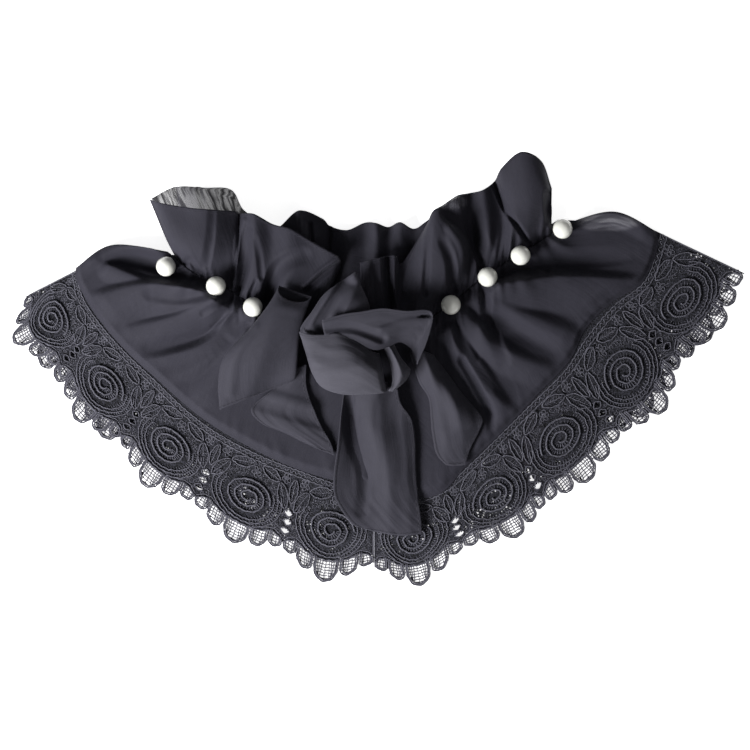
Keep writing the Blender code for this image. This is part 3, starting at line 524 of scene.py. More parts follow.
RIGHT_RUFFLE_CREASES = rows(
    Crease,
    (((34.4, 70.6), (40.5, 62.4), (42.6, 53.3), (42.6, 44.1)), 2.0, 1.5, 2.5, 4),
    (((-6.5, 53), (-6, 40), (-5, 28)), 1.5, 1.0, 2.5, 2.5),
    (((2.3, 55.3), (2.8, 42.6), (4.3, 28.8)), -6.5, -7.5, 4.2, 3),
    (((31.3, 63.5), (34.9, 54.3), (36.4, 40)), -1.5, -5.0, 3.4, 4),
    (((32.9, 76.2), (43.1, 67.5), (49.2, 56.3), (51.2, 43.1)), -4.0, -7.5, 9, 2.4),
    (((57.3, 94.1), (59.6, 87.9), (64, 78.2), (70.6, 69.3), (76.2, 60.9), (81.3, 52.2)),
     -4.5, -4.5, 1.5, 2.2),
    (((83.9, 87.9), (84.4, 79.8), (86.4, 73.7)), -4.0, -5.0, 2.5, 3.5),
    (((24, 70), (23, 56), (22, 38)), -1.0, -2.5, 2.2, 2.6),
)
BACK_RUFFLE_CREASES = rows(
    Crease,
    (((-77.8, 87.9), (-81.9, 81.3)), 1.5, 1.5, 2, 2),
    (((-42.1, 80.3), (-40.6, 68)), 1.5, 1.0, 2, 2),
    (((-105.3, 91), (-103.8, 78.2)), -2.5, -2.0, 2, 2),
    (((-93.1, 91), (-90.6, 81.3), (-90, 72)), -2.2, -1.5, 1.6, 1.6),
    (((-82.9, 87.9), (-83.4, 79.8), (-83, 70)), -2.2, -1.5, 1.6, 1.6),
    (((-36.5, 73.2), (-35.5, 60.4)), -3.0, -2.5, 1.8, 1.8),
    (((-26.3, 70.6), (-27.3, 58.9)), -2.5, -2.0, 1.6, 1.6),
)
UPPER_LOOP_CREASES = rows(
    Crease,
    (((-22.5, 42.5), (-30.5, 31.5), (-37, 20)), 1.6, 1.2, 2.5, 2.5),
    (((-17.5, 42.0), (-22.8, 31.5), (-29, 21)), -4.0, -5.0, 6, 6),
)
OUTER_PETAL_CREASES = rows(
    Crease,
    (((-0.8, 13.5), (2.3, 8.4), (3.8, 0.7), (4.8, -8.5)), -4.0, -4.0, 3, 6),
    (((-36, 9), (-25, 5), (-12, 5)), -1.2, -0.8, 5, 5),
)
BACK_PETAL_CREASES = rows(
    Crease,
    (((-29, 20), (-14, 20), (0, 15)), -1.6, -2.5, 3.5, 3.5),
    (((0, 19), (12, 23), (23, 24)), 1.4, 0.8, 3, 3), (((20, 26), (24, 26.6)), -3.0, -2.0, 1.1, 1.1),
)
INNER_PETAL_CREASES = rows(
    Crease,
    (((4, 17), (6.5, 8), (10, -2)), 1.0, 1.0, 2, 3),
)
RIGHT_TAIL_CREASES = rows(
    Crease,
    (((28.3, 5), (31.9, -14), (35.5, -31.4), (38, -47)), -1.6, -0.9, 5, 6),
    (((23, 3), (28, -14), (33, -36)), 0.9, 0.5, 3.5, 3.5),
)
CENTRE_TAIL_CREASES = rows(
    Crease,
    (((3.5, -12), (6.5, -36), (8.5, -60), (9.5, -84)), -1.0, -0.8, 6, 6),
    (((-15.1, -13), (-14.7, -25.8), (-12.3, -38.5), (-9, -47.7), (-6.7, -57), (-8.5, -72)),
     -3.2, -1.6, 2.0, 6.5),
)
LEFT_TAIL_CREASES = rows(
    Crease,
    (((-66, -17), (-49, -22.5), (-28, -29)), -0.7, -1.0, 5, 4),
    (((-58, -12.5), (-43, -17), (-32, -20)), 0.8, 0.8, 4, 4),
)
LEFT_LOOP_CREASES = rows(
    Crease,
    (((-45, 24), (-50, 5), (-58, -18)), -1.0, -4.0, 11, 11),
    (((-64, 21), (-73, 6), (-76, -12)), 1.0, 1.0, 4, 4),
)


@dataclass(frozen=True)
class Gathers:
    """Small pleats that leave a gathering line side by side and die out at different lengths."""

    pitch: float
    height: float
    reach: float
    seed: int

    def lift(self, across: np.ndarray, down: np.ndarray) -> np.ndarray:
        """How far the pleats lift each point.

        Args:
            across: How far the point's rib lies along the gathering line.
            down: How far the point lies from the line.

        Returns:
            The lift of each point.
        """
        dice = np.random.default_rng(self.seed)
        total = np.zeros(down.shape)
        place = self.pitch * dice.uniform(0.2, 0.8)
        while place < across.max():
            reach = self.reach * dice.uniform(0.35, 1.6)
            height = self.height * dice.uniform(0.5, 1.2)
            width = self.pitch * dice.uniform(0.3, 0.5) * (1 + 0.6 * down / self.reach)
            drift = dice.uniform(-0.16, 0.16)
            middle = place + drift * down
            shape = np.exp(-(((across - middle) / width) ** 2))
            total += height * shape * np.exp(-((down / reach) ** 2))
            place += self.pitch * dice.uniform(0.7, 1.35)
        return total


class Number:
    """A number in a shader, which Python's operators add nodes to."""

    def __init__(self, recipe: Recipe, socket: bpy.types.NodeSocket) -> None:
        """Wrap one output socket."""
        self.recipe = recipe
        self.socket = socket

    def _math(self, operation: str, *values: Number | float) -> Number:
        """A Math node on some values."""
        node = self.recipe.node("ShaderNodeMath", {"operation": operation}, *values)
        return Number(self.recipe, node.outputs[0])

    def __add__(self, other: Number | float) -> Number:
        """Sum."""
        return self._math("ADD", self, other)

    __radd__ = __add__

    def __sub__(self, other: Number | float) -> Number:
        """Difference."""
        return self._math("SUBTRACT", self, other)

    def __rsub__(self, other: float) -> Number:
        """Difference from a plain number."""
        return self._math("SUBTRACT", other, self)

    def __mul__(self, other: Number | float) -> Number:
        """Product."""
        return self._math("MULTIPLY", self, other)

    def __lt__(self, other: Number | float) -> Number:
        """1 where this is smaller, else 0."""
        return self._math("LESS_THAN", self, other)

    def fraction(self) -> Number:
        """The part after the point."""
        return self._math("FRACT", self)

    def step(self, low: float, high: float) -> Number:
        """0 at low and 1 at high, softly.

        Args:
            low: Where the step starts.
            high: Where it ends.

        Returns:
            The share of the step.
        """
        settings = {"interpolation_type": "SMOOTHSTEP"}
        node = self.recipe.node("ShaderNodeMapRange", settings, self, low, high)
        return Number(self.recipe, node.outputs[0])


class Recipe:
    """A material under construction."""

    def __init__(self, name: str) -> None:
        """Start from a plain surface.

        Args:
            name: The material's name.
        """
        self.material = bpy.data.materials.new(name)
        self.material.use_nodes = True
        self.tree = self.material.node_tree
        self.surface = self.tree.nodes["Principled BSDF"]
        self.coords = self.node("ShaderNodeTexCoord").outputs["Object"]

    def node(
        self, kind: str, settings: dict | None = None, *values: object, **named: object
    ) -> bpy.types.Node:
        """Add a node.

        Args:
            kind: The node's type.
            settings: Attributes of the node, set first.
            *values: Values or links of the sockets, in order.
            **named: Values or links of sockets by name.

        Returns:
            The new node.
        """
        node = self.tree.nodes.new(kind)
        for key, value in (settings or {}).items():
            setattr(node, key, value)
        for socket, value in zip(node.inputs, values):
            self.feed(socket, value)
        for key, value in named.items():
            self.feed(node.inputs[key], value)
        return node

    def feed(self, socket: bpy.types.NodeSocket, value: object) -> None:
        """Link a socket to a value, or set it.

        Args:
            socket: The input.
            value: A number, a socket or a plain value.
        """
        if isinstance(value, Number):
            value = value.socket
        if isinstance(value, bpy.types.NodeSocket):
            self.tree.links.new(value, socket)
        elif value is not None:
            socket.default_value = value

    def noise(
        self, scale: float, detail: float = 2.0, roughness: float = 0.5, vector: object = None
    ) -> Number:
        """Noise over the object's own space, with scale in waves a metre.

        Args:
            scale: Waves a metre.
            detail: How many finer octaves it has.
            roughness: How strong those are.
            vector: Where it is read, if not at the object's own coordinates.

        Returns:
            The noise, from 0 to 1.
        """
        node = self.node(
            "ShaderNodeTexNoise", Vector=vector or self.coords, Scale=scale, Detail=detail,
            Roughness=roughness,
        )
        return Number(self, node.outputs["Fac"])

    def attribute(self, name: str) -> Number:
        """A number kept on the mesh."""
        node = self.node("ShaderNodeAttribute", {"attribute_name": name})
        return Number(self, node.outputs["Fac"])

    def cloth_place(self) -> tuple[Number, Number]:
        """How far a point lies across and down its cloth, in metres.

        Returns:
            The two measures.
        """
        uv = self.node("ShaderNodeUVMap", {"uv_map": "cloth"})
        parts = self.node("ShaderNodeSeparateXYZ", None, uv.outputs[0])
        return Number(self, parts.outputs[0]), Number(self, parts.outputs[1])

    def vector(self, first: Number, second: Number) -> bpy.types.NodeSocket:
        """A vector of two numbers and zero."""
        node = self.node("ShaderNodeCombineXYZ", None, first, second)
        return node.outputs[0]

    def mix(
        self, factor: Number | float, first: object, second: object, blend: str = "MIX"
    ) -> bpy.types.NodeSocket:
        """Two colours blended.

        Args:
            factor: The share of the second colour.
            first: The first colour.
            second: The second colour.
            blend: How they blend.

        Returns:
            The blended colour.
        """
        node = self.tree.nodes.new("ShaderNodeMix")
        node.data_type = "RGBA"
        node.blend_type = blend
        self.feed(node.inputs[0], factor)
        self.feed(node.inputs[6], first)
        self.feed(node.inputs[7], second)
        return node.outputs[2]

    def grey(self, value: Number) -> bpy.types.NodeSocket:
        """A number as a grey colour."""
        node = self.node("ShaderNodeCombineColor", None, value, value, value)
        return node.outputs[0]

    def bump(self, height: Number, depth: float) -> None:
        """Relief of the surface: height 1 is depth millimetres."""
        node = self.node("ShaderNodeBump", None, Strength=1.0, Distance=depth * MM, Height=height)
        self.tree.links.new(node.outputs[0], self.surface.inputs["Normal"])

    def set(self, name: str, value: object) -> None:
        """Give one of the surface's sockets its value or its link."""
        self.feed(self.surface.inputs[name], value)

    def paint(self, colour: object, shade: Number) -> None:
        """Colour the surface, darker or lighter by a shade."""
        self.set("Base Color", self.mix(1.0, colour, self.grey(shade), "MULTIPLY"))


@dataclass(frozen=True)
class ChiffonFinish:
    """Matt black chiffon with a fine crepe grain, crinkles down the cloth and narrow hems.

    Scales are in waves a metre, and the hem's measures and the relief in millimetres.
    """

    name: str = "chiffon"
    colour: Colour = (0.0195, 0.0187, 0.0265, 1.0)
    # painted light: the pale grey that see-through patches and lit pieces are painted towards
    painted_light_colour: Colour = (0.15, 0.147, 0.172, 1.0)
    sheen_colour: Colour = (0.75, 0.76, 0.9, 1.0)
    roughness: float = 0.8
    grain_scale: float = 2200.0
    slub_scale: float = 260.0
    mottle_scale: float = 38.0
    crinkle_scale: float = 430.0
    crinkle_stretch: float = 0.13
    hem_width: float = 1.8
    stitch_pitch: float = 2.4
    stitch_share: float = 0.62
    see_through: float = 0.45
    relief: float = 0.6

    def material(self) -> bpy.types.Material:
        """Build the finish.

        Returns:
            The material.
        """
        recipe = Recipe(self.name)
        grain = recipe.noise(self.grain_scale, 3.0, 0.65)
        slub = recipe.noise(self.slub_scale)
        mottle = recipe.noise(self.mottle_scale)
        along, down = recipe.cloth_place()
        place = recipe.vector(along, down * self.crinkle_stretch)
        crinkle = recipe.noise(self.crinkle_scale, 2.0, 0.55, place)
        hem, width = recipe.attribute("hem"), self.hem_width
        fold = 1.0 - hem.step(width - 0.35, width)
        row = hem.step(width - 0.75, width - 0.55) * (1.0 - hem.step(width - 0.35, width - 0.15))
        stitch = row * ((along * (1.0 / (self.stitch_pitch * MM))).fraction() < self.stitch_share)
        # Painted light: one share lightens the colour towards a pale grey where one layer lies over
        # the floor, standing in for the floor's light through it, and also lets the floor through
        # by alpha; another share lightens whole pieces that catch more light.
        light = recipe.attribute("sheer") * (0.3 + crinkle.step(0.36, 0.62) * 0.7)
        colour = recipe.mix(light + recipe.attribute("tone"), self.colour, self.painted_light_colour)
        # The crinkles darken and lighten the colour as painted shade and light of the wrinkles,
        # beside their bump; grain, slub and mottle are the cloth's own uneven tone, and the
        # stitches are dark thread.
        shade = 0.92 + (grain - 0.5) * 0.3 + (mottle - 0.5) * 0.26 + (slub - 0.5) * 0.16
        recipe.paint(colour, shade + (crinkle - 0.5) * 0.16 - stitch * 0.2)
        recipe.set("Alpha", 1.0 - light * self.see_through)
        recipe.set("Roughness", self.roughness + (grain - 0.5) * 0.15)
        height = grain * 0.14 + slub * 0.16 + crinkle * 0.3 + fold * 0.25 - stitch * 0.25
        recipe.bump(height, self.relief)
        recipe.set("Sheen Weight", 0.03)
        recipe.set("Sheen Roughness", 0.5)
        recipe.set("Sheen Tint", self.sheen_colour)
        recipe.set("Specular IOR Level", 0.15)
        return recipe.material


@dataclass(frozen=True)
class GuipureFinish:
    """Black embroidery thread, for the cords and for the dense ground of the lace."""

    name: str
    colour: Colour
    roughness: float
    thread_scale: float
    relief: float
    dark: float
    light: float
    pinholes: bool = False

    def material(self) -> bpy.types.Material:
        """Build the finish.

        Returns:
            The material.
        """
        recipe = Recipe(self.name)
        thread = recipe.noise(self.thread_scale, 3.0, 0.7)
        patch = recipe.noise(120.0)
        # The thread noise is partly the thread's own grain and partly painted highlights on the
        # threads with painted shade between them.
        shade = self.dark + thread.step(0.4, 0.64) * (self.light - self.dark)
        recipe.paint(self.colour, shade + (patch - 0.5) * 0.3)
        recipe.set("Roughness", self.roughness + (thread - 0.5) * 0.2)
        recipe.set("Specular IOR Level", 0.2)
        recipe.bump(thread, self.relief)
        if self.pinholes:
            settings = {"feature": "DISTANCE_TO_EDGE"}
            cells = recipe.node("ShaderNodeTexVoronoi", settings, Vector=recipe.coords, Scale=700.0)
            between = Number(recipe, cells.outputs["Distance"]).step(0.2, 0.3)
            region = recipe.noise(150.0, 2.0, 0.6).step(0.5, 0.62)
            recipe.set("Alpha", 1.0 - between * region)
        return recipe.material


@dataclass(frozen=True)
class PearlFinish:
    """Glossy off-white imitation pearl."""

    name: str = "pearl"
    colour: Colour = (0.64, 0.64, 0.6, 1.0)
    cloud_colour: Colour = (0.46, 0.46, 0.42, 1.0)

    def material(self) -> bpy.types.Material:
        """Build the finish.

        Returns:
            The material.
        """
        recipe = Recipe(self.name)
        cloud = recipe.noise(160.0) * 0.35
        recipe.set("Base Color", recipe.mix(cloud, self.colour, self.cloud_colour))
        recipe.bump(recipe.noise(900.0), 0.03)
        recipe.set("Roughness", 0.22)
        recipe.set("Coat Weight", 0.6)
        recipe.set("Coat Roughness", 0.08)
        recipe.set("Specular IOR Level", 0.6)
        return recipe.material


@dataclass(frozen=True)
class FloorFinish:
    """A plain pale studio floor that glows a little, so that its shadows stay faint."""

    name: str = "floor"
    colour: Colour = (0.97, 0.97, 0.97, 1.0)
    glow: float = 0.87

    def material(self) -> bpy.types.Material:
        """Build the finish.

        Returns:
            The material.
        """
        recipe = Recipe(self.name)
        recipe.set("Base Color", self.colour)
        recipe.set("Roughness", 0.9)
        recipe.set("Specular IOR Level", 0.1)
        recipe.set("Emission Color", self.colour)
        recipe.set("Emission Strength", self.glow)
        return recipe.material


CORD_FINISH = GuipureFinish(
    "guipure_cord", (0.074, 0.073, 0.092, 1.0), roughness=0.6, thread_scale=2600.0,
    relief=0.25, dark=0.45, light=1.4,
)
# the ground's wide range from dark to light paints highlights on its threads and shade between them
GROUND_FINISH = GuipureFinish(
    "guipure_ground", (0.008, 0.008, 0.011, 1.0), roughness=0.85, thread_scale=1500.0,
    relief=0.5, dark=0.2, light=3.6, pinholes=True,
)


class Wardrobe:
    """The finishes of the whole collar, made once."""

    def __init__(self) -> None:
        """Make the materials."""
        self.chiffon = ChiffonFinish().material()
        self.cord = CORD_FINISH.material()
        self.ground = GROUND_FINISH.material()
        self.pearl = PearlFinish().material()
        self.floor = FloorFinish().material()


def new_object(
    name: str, verts: np.ndarray, faces: list[list[int]], material: bpy.types.Material
) -> bpy.types.Object:
    """A smooth mesh object from points in millimetres.

    Args:
        name: The object's name.
        verts: Its points.
        faces: Its faces, as the numbers of their points.
        material: Its finish.

    Returns:
        The object, linked to the scene.
    """
    mesh = bpy.data.meshes.new(name)
    mesh.from_pydata((verts * MM).tolist(), [], faces)
    mesh.materials.append(material)
    mesh.shade_smooth()
    mesh.update()
    piece = bpy.data.objects.new(name, mesh)
    bpy.context.scene.collection.objects.link(piece)
    return piece


def add_wall(piece: bpy.types.Object, thickness: float) -> None:
    """Give a cloth its wall in millimetres, on the side that doesn't show.

    Args:
        piece: The cloth's mesh.
        thickness: How thick it is.
    """
    shell = piece.modifiers.new("wall", "SOLIDIFY")
    shell.thickness = thickness * MM
    shell.offset = -1


def put_point_values(piece: bpy.types.Object, name: str, values: np.ndarray) -> None:
    """Keep one number a point on a mesh."""
    layer = piece.data.attributes.new(name, "FLOAT", "POINT")
    layer.data.foreach_set("value", np.asarray(values, np.float32).ravel())


def put_cloth_places(piece: bpy.types.Object, across: np.ndarray, down: np.ndarray) -> None:
    """Keep each point's place on its cloth as a UV map, in metres.

    Args:
        piece: The cloth's mesh.
        across: How far across it each point lies.
        down: How far down it each point lies.
    """
    layer = piece.data.uv_layers.new(name="cloth")
    corners = np.zeros(len(piece.data.loops), np.int32)
    piece.data.loops.foreach_get("vertex_index", corners)
    places = np.stack([across.ravel()[corners], down.ravel()[corners]], axis=1) * MM
    layer.data.foreach_set("uv", places.astype(np.float32).ravel())


def quads_of(index: np.ndarray) -> np.ndarray:
    """The four-sided faces between the rows and the columns of a grid of point numbers."""
    corners = [index[:-1, :-1], index[:-1, 1:], index[1:, 1:], index[1:, :-1]]
    return np.stack(corners, axis=-1).reshape(-1, 4)


def face_normals(points: np.ndarray, faces: np.ndarray) -> np.ndarray:
    """A normal for each four-sided face, as long as twice its area."""
    corners = points[faces]
    return np.cross(corners[:, 2] - corners[:, 0], corners[:, 3] - corners[:, 1])


@dataclass(frozen=True)
class Sides:
    """Which sides of a cloth's grid are free hems."""

    first: bool = True
    last: bool = True
    top: bool = False
    bottom: bool = True


SEWN_IN = Sides(False, False, False, False)
PANEL_HEMS = Sides(False, True, False, False)
PETAL_HEMS = Sides(False, False, True, False)
LOOP_HEMS = Sides(False, False, True, True)
TAIL_HEMS = Sides(False, True, True, True)


@dataclass
class Cloth:
    """One stretch of chiffon, as a thin shell over a grid of points."""

    name: str
    node: str
    grid: np.ndarray
    held: Held
    rests_on: tuple[str, ...]
    hems: Sides = Sides()
    # painted light, with some see-through, where one layer lies over the floor
    sheer: np.ndarray | float = 0.0
    # painted light: a share by which the whole piece is painted lighter, as if it caught more light
    tone: float = 0.0
    closed: bool = False
    lengthwise: bool = False

    def hem_distance(self, across: np.ndarray, down: np.ndarray) -> np.ndarray:
        """How far each point lies from the nearest free hem.

        Args:
            across: How far across the cloth each point lies.
            down: How far down it each point lies.

        Returns:
            One distance for each point.
        """
        sides = (
            (self.hems.first, across), (self.hems.last, across[-1:] - across),
            (self.hems.top, down), (self.hems.bottom, down[:, -1:] - down),
        )
        far = np.full(across.shape, NO_HEM)
        for free, distance in sides:
            if free:
                far = np.minimum(far, distance)
        return far

    def faces(self, points: np.ndarray) -> np.ndarray:
        """The grid's four-sided faces, turned so that the side that shows looks out.

        Args:
            points: The grid's points in one list.

        Returns:
            The numbers of each face's points.
        """
        index = np.arange(len(points)).reshape(self.grid.shape[:2])
        if self.closed:
            index = np.concatenate([index[:-1], index[:1]])
        faces = quads_of(index)[:, [0, 3, 2, 1]]
        normals = face_normals(points, faces)
        if self.closed:
            facing = (points[faces].mean(axis=1) - points.mean(axis=0)) * normals
        else:
            facing = normals[:, 2]
        return faces[:, ::-1] if facing.sum() < 0 else faces

    def build(self, material: bpy.types.Material) -> None:
        """Make the piece and dress it in the chiffon.

        Args:
            material: The chiffon.
        """
        across, down = grid_lengths(self.grid)
        points = self.grid.reshape(-1, 3)
        piece = new_object(self.name, points, self.faces(points).tolist(), material)
        put_point_values(piece, "hem", self.hem_distance(across, down))
        # painted light, the same on every point of the piece
        put_point_values(piece, "tone", np.full(across.shape, self.tone))
        put_point_values(piece, "sheer", np.broadcast_to(self.sheer, across.shape))
        put_cloth_places(piece, *((down, across) if self.lengthwise else (across, down)))
        add_wall(piece, CHIFFON_WALL)
        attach(piece, BODY)
        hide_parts(self.node)


@dataclass(frozen=True)
class SheerAndPaintedLightPatch:
    """Where one layer of chiffon lies over the floor: it is painted lighter there, standing in for
    the floor's light through the cloth, and lets the floor show through a little.
    """

    x: float
    y: float
    half_x: float
    half_y: float
    amount: float

    def share(self, plan: np.ndarray) -> np.ndarray:
        """How much each point of a plan is painted lighter and lets the floor show through.

        Args:
            plan: The x and y of each point, in millimetres.

        Returns:
            One share for each point.
        """
        across = (plan[..., 0] - self.x) / self.half_x
        along = (plan[..., 1] - self.y) / self.half_y
        return self.amount * (1 - smooth(across**2 + along**2, 0.5, 1.2))


@dataclass
class Flounce:
    """The gathered capelet: two front panels over a back panel."""

    across: int = 240
    along: int = 96
    back_steps: tuple[int, int] = (120, 24)
    back_drop: float = 0.4
    gathers: Gathers = Gathers(4.2, 2.4, 19.0, 11)
    puckers: Gathers = Gathers(5.6, 0.7, 8.0, 23)
    puff: float = 1.6
    hem_drop: float = 1.6
    floor: float = 2.4
    # painted light, with some see-through, on the right shoulder's single layer
    sheer: SheerAndPaintedLightPatch = SheerAndPaintedLightPatch(114.5, 74.0, 17, 4.5, 0.5)

    def panel(self, ribs: list[NeckRib], creases: list[Crease]) -> np.ndarray:
        """A front panel's grid with its creases, its gathers and the puckers above the lace.

        Args:
            ribs: The panel's ribs.
            creases: Its creases.

        Returns:
            The grid.
        """
        grid = cloth_grid(ribs_from_neck(FRONT_NECK, ribs, -1), self.across, self.along)
        across, down = grid_lengths(grid)
        share = np.linspace(0.0, 1.0, self.along + 1)[None, :]
        calm = smooth(1 - share, 0.0, 0.2) * smooth(share, -0.02, 0.14)
        lift = lift_together(creases, grid[..., :2]) * calm
        neck_run = np.broadcast_to(across[:, :1], down.shape)
        hem_run = np.broadcast_to(across[:, -1:], down.shape)
        pleats = self.gathers.lift(neck_run, down) * smooth(1 - share, 0.0, 0.3)
        puckers = self.puckers.lift(hem_run, down[:, -1:] - down) * smooth(1 - share, 0.0, 0.06)
        puff = self.puff * np.exp(-(((down - 5.0) / 4.0) ** 2))
        drop = self.hem_drop * smooth(share, 0.93, 1.0)
        height = grid[..., 2] + lift + pleats + puckers + puff - drop
        grid[..., 2] = kept_above(height, self.floor)
        return grid

    def build(self, wardrobe: Wardrobe) -> None:
        """Make the three panels.

        Args:
            wardrobe: The finishes.
        """
        left = self.panel(FRONT_LEFT_PANEL, LEFT_PANEL_CREASES)
        right = self.panel(FRONT_RIGHT_PANEL, RIGHT_PANEL_CREASES)
        back = cloth_grid(ribs_from_neck(BACK_NECK, BACK_PANEL, -1), *self.back_steps)
        back[..., 2] -= self.back_drop
        gathered = (Held.GATHERED, ("panel_back", "lace_back"), PANEL_HEMS)
        # painted light and see-through on the right panel
        sheer = self.sheer.share(right[..., :2])
        for cloth in (
            Cloth("flounce_front_left", "panel_front_left", left, *gathered),
            Cloth("flounce_front_right", "panel_front_right", right, *gathered, sheer),
            Cloth("flounce_back", "panel_back", back, Held.LAID, ("floor",), SEWN_IN),
        ):
            cloth.build(wardrobe.chiffon)


@dataclass
class NeckRuffle:
    """The ruffle above the gathering line, in three stretches."""

    along: int = 48
    columns: tuple[int, int, int] = (260, 320, 340)
    pleats: Gathers = Gathers(3.8, 2.0, 15.0, 5)
    back_pleats: Gathers = Gathers(5.0, 0.9, 16.0, 8)
    flutter: float = 0.5
    flutter_run: float = 4.1
    floor: float = 1.0
    # painted light, with some see-through, at the right ruffle's hem and inside the left cup
    hem_sheer_and_painted_light: SheerAndPaintedLightPatch = SheerAndPaintedLightPatch(34.5, 84.0, 9.5, 4.0, 0.6)
    cup_sheer_and_painted_light: SheerAndPaintedLightPatch = SheerAndPaintedLightPatch(-93, 84, 26, 13, 1.0)

    def stretch(
        self, ribs: list[np.ndarray], columns: int, pleats: Gathers, creases: list[Crease]
    ) -> np.ndarray:
        """A ruffle's grid with its pleats and creases.

        Args:
            ribs: The stretch's ribs, as lines.
            columns: How many columns its grid has.
            pleats: Its pleats.
            creases: Its creases.

        Returns:
            The grid.
        """
        grid = cloth_grid(ribs, columns, self.along)
        across, down = grid_lengths(grid)
        neck_run = np.broadcast_to(across[:, :1], down.shape)
        share = np.linspace(0.0, 1.0, self.along + 1)[None, :]
        edge = self.flutter * np.sin(across / self.flutter_run) * smooth(share, 0.6, 1.0)
        lift = lift_together(creases, grid[..., :2]) * smooth(share, -0.04, 0.12)
        small = pleats.lift(neck_run, down) * smooth(1 - share, 0.0, 0.35) + edge
        grid[..., 2] = kept_above(grid[..., 2] + lift + small, self.floor)
        return grid

    def build(self, wardrobe: Wardrobe) -> None:
        """Make the three stretches.

        Args:
            wardrobe: The finishes.
        """
        left, right, back = (
            self.stretch(ribs_from_neck(neck, ribs, 1), columns, pleats, creases)
            for columns, (neck, ribs, pleats, creases) in zip(
                self.columns,
                (
                    (FRONT_NECK, LEFT_RUFFLE, self.pleats, LEFT_RUFFLE_CREASES),
                    (FRONT_NECK, RIGHT_RUFFLE, self.pleats, RIGHT_RUFFLE_CREASES),
                    (BACK_NECK, BACK_RUFFLE, self.back_pleats, BACK_RUFFLE_CREASES),
                ),
            )
        )
        gathered, on_back = Held.GATHERED, ("ruffle_back",)
        # the shares of painted light and see-through for the right ruffle and for the back
        hem = self.hem_sheer_and_painted_light.share(right[..., :2])
        cup = self.cup_sheer_and_painted_light.share(back[..., :2])
        for cloth in (
            Cloth("ruffle_left", "ruffle_front_left", left, gathered, on_back),
            Cloth("ruffle_right", "ruffle_front_right", right, gathered, on_back, sheer=hem),
            Cloth("ruffle_behind", "ruffle_back", back, gathered, ("floor",), sheer=cup),
        ):
            cloth.build(wardrobe.chiffon)


@dataclass
class TieStretch:
    """One stretch of the tie: its table, the steps that its solid has, its creases and hems."""

    name: str
    table: list
    solid_steps: tuple[int, int]
    rests_on: tuple[str, ...]
    creases: list[Crease]
    hems: Sides
    # painted light: how much lighter the stretch is painted, standing in for the light it catches
    tone: float = 0.05


ON_LEFT, ON_RIGHT = ("panel_front_left",), ("panel_front_right",)
ON_KNOT = ("tie_loop_upper", "tie_tail_centre")
TIE_STRETCHES = rows(
    TieStretch,
    ("tail_right", RIGHT_TAIL, (8, 8), ON_RIGHT, RIGHT_TAIL_CREASES, TAIL_HEMS),
    ("tail_centre", CENTRE_TAIL, (10, 9), ON_LEFT, CENTRE_TAIL_CREASES, TAIL_HEMS),
    ("tail_left", LEFT_TAIL, (8, 6), ON_LEFT, LEFT_TAIL_CREASES, TAIL_HEMS),
    ("loop_upper", UPPER_LOOP, (8, 8), ON_LEFT, UPPER_LOOP_CREASES, LOOP_HEMS),
    ("petal_back", BACK_PETAL, (14, 4), ON_KNOT, BACK_PETAL_CREASES, PETAL_HEMS),
    # the petals, which face the key lamp, are painted lighter still
    ("petal_outer", OUTER_PETAL, (12, 9), ON_KNOT, OUTER_PETAL_CREASES, PETAL_HEMS, 0.16),
    ("petal_inner", INNER_PETAL, (9, 6), ON_KNOT, INNER_PETAL_CREASES, PETAL_HEMS, 0.16),
)


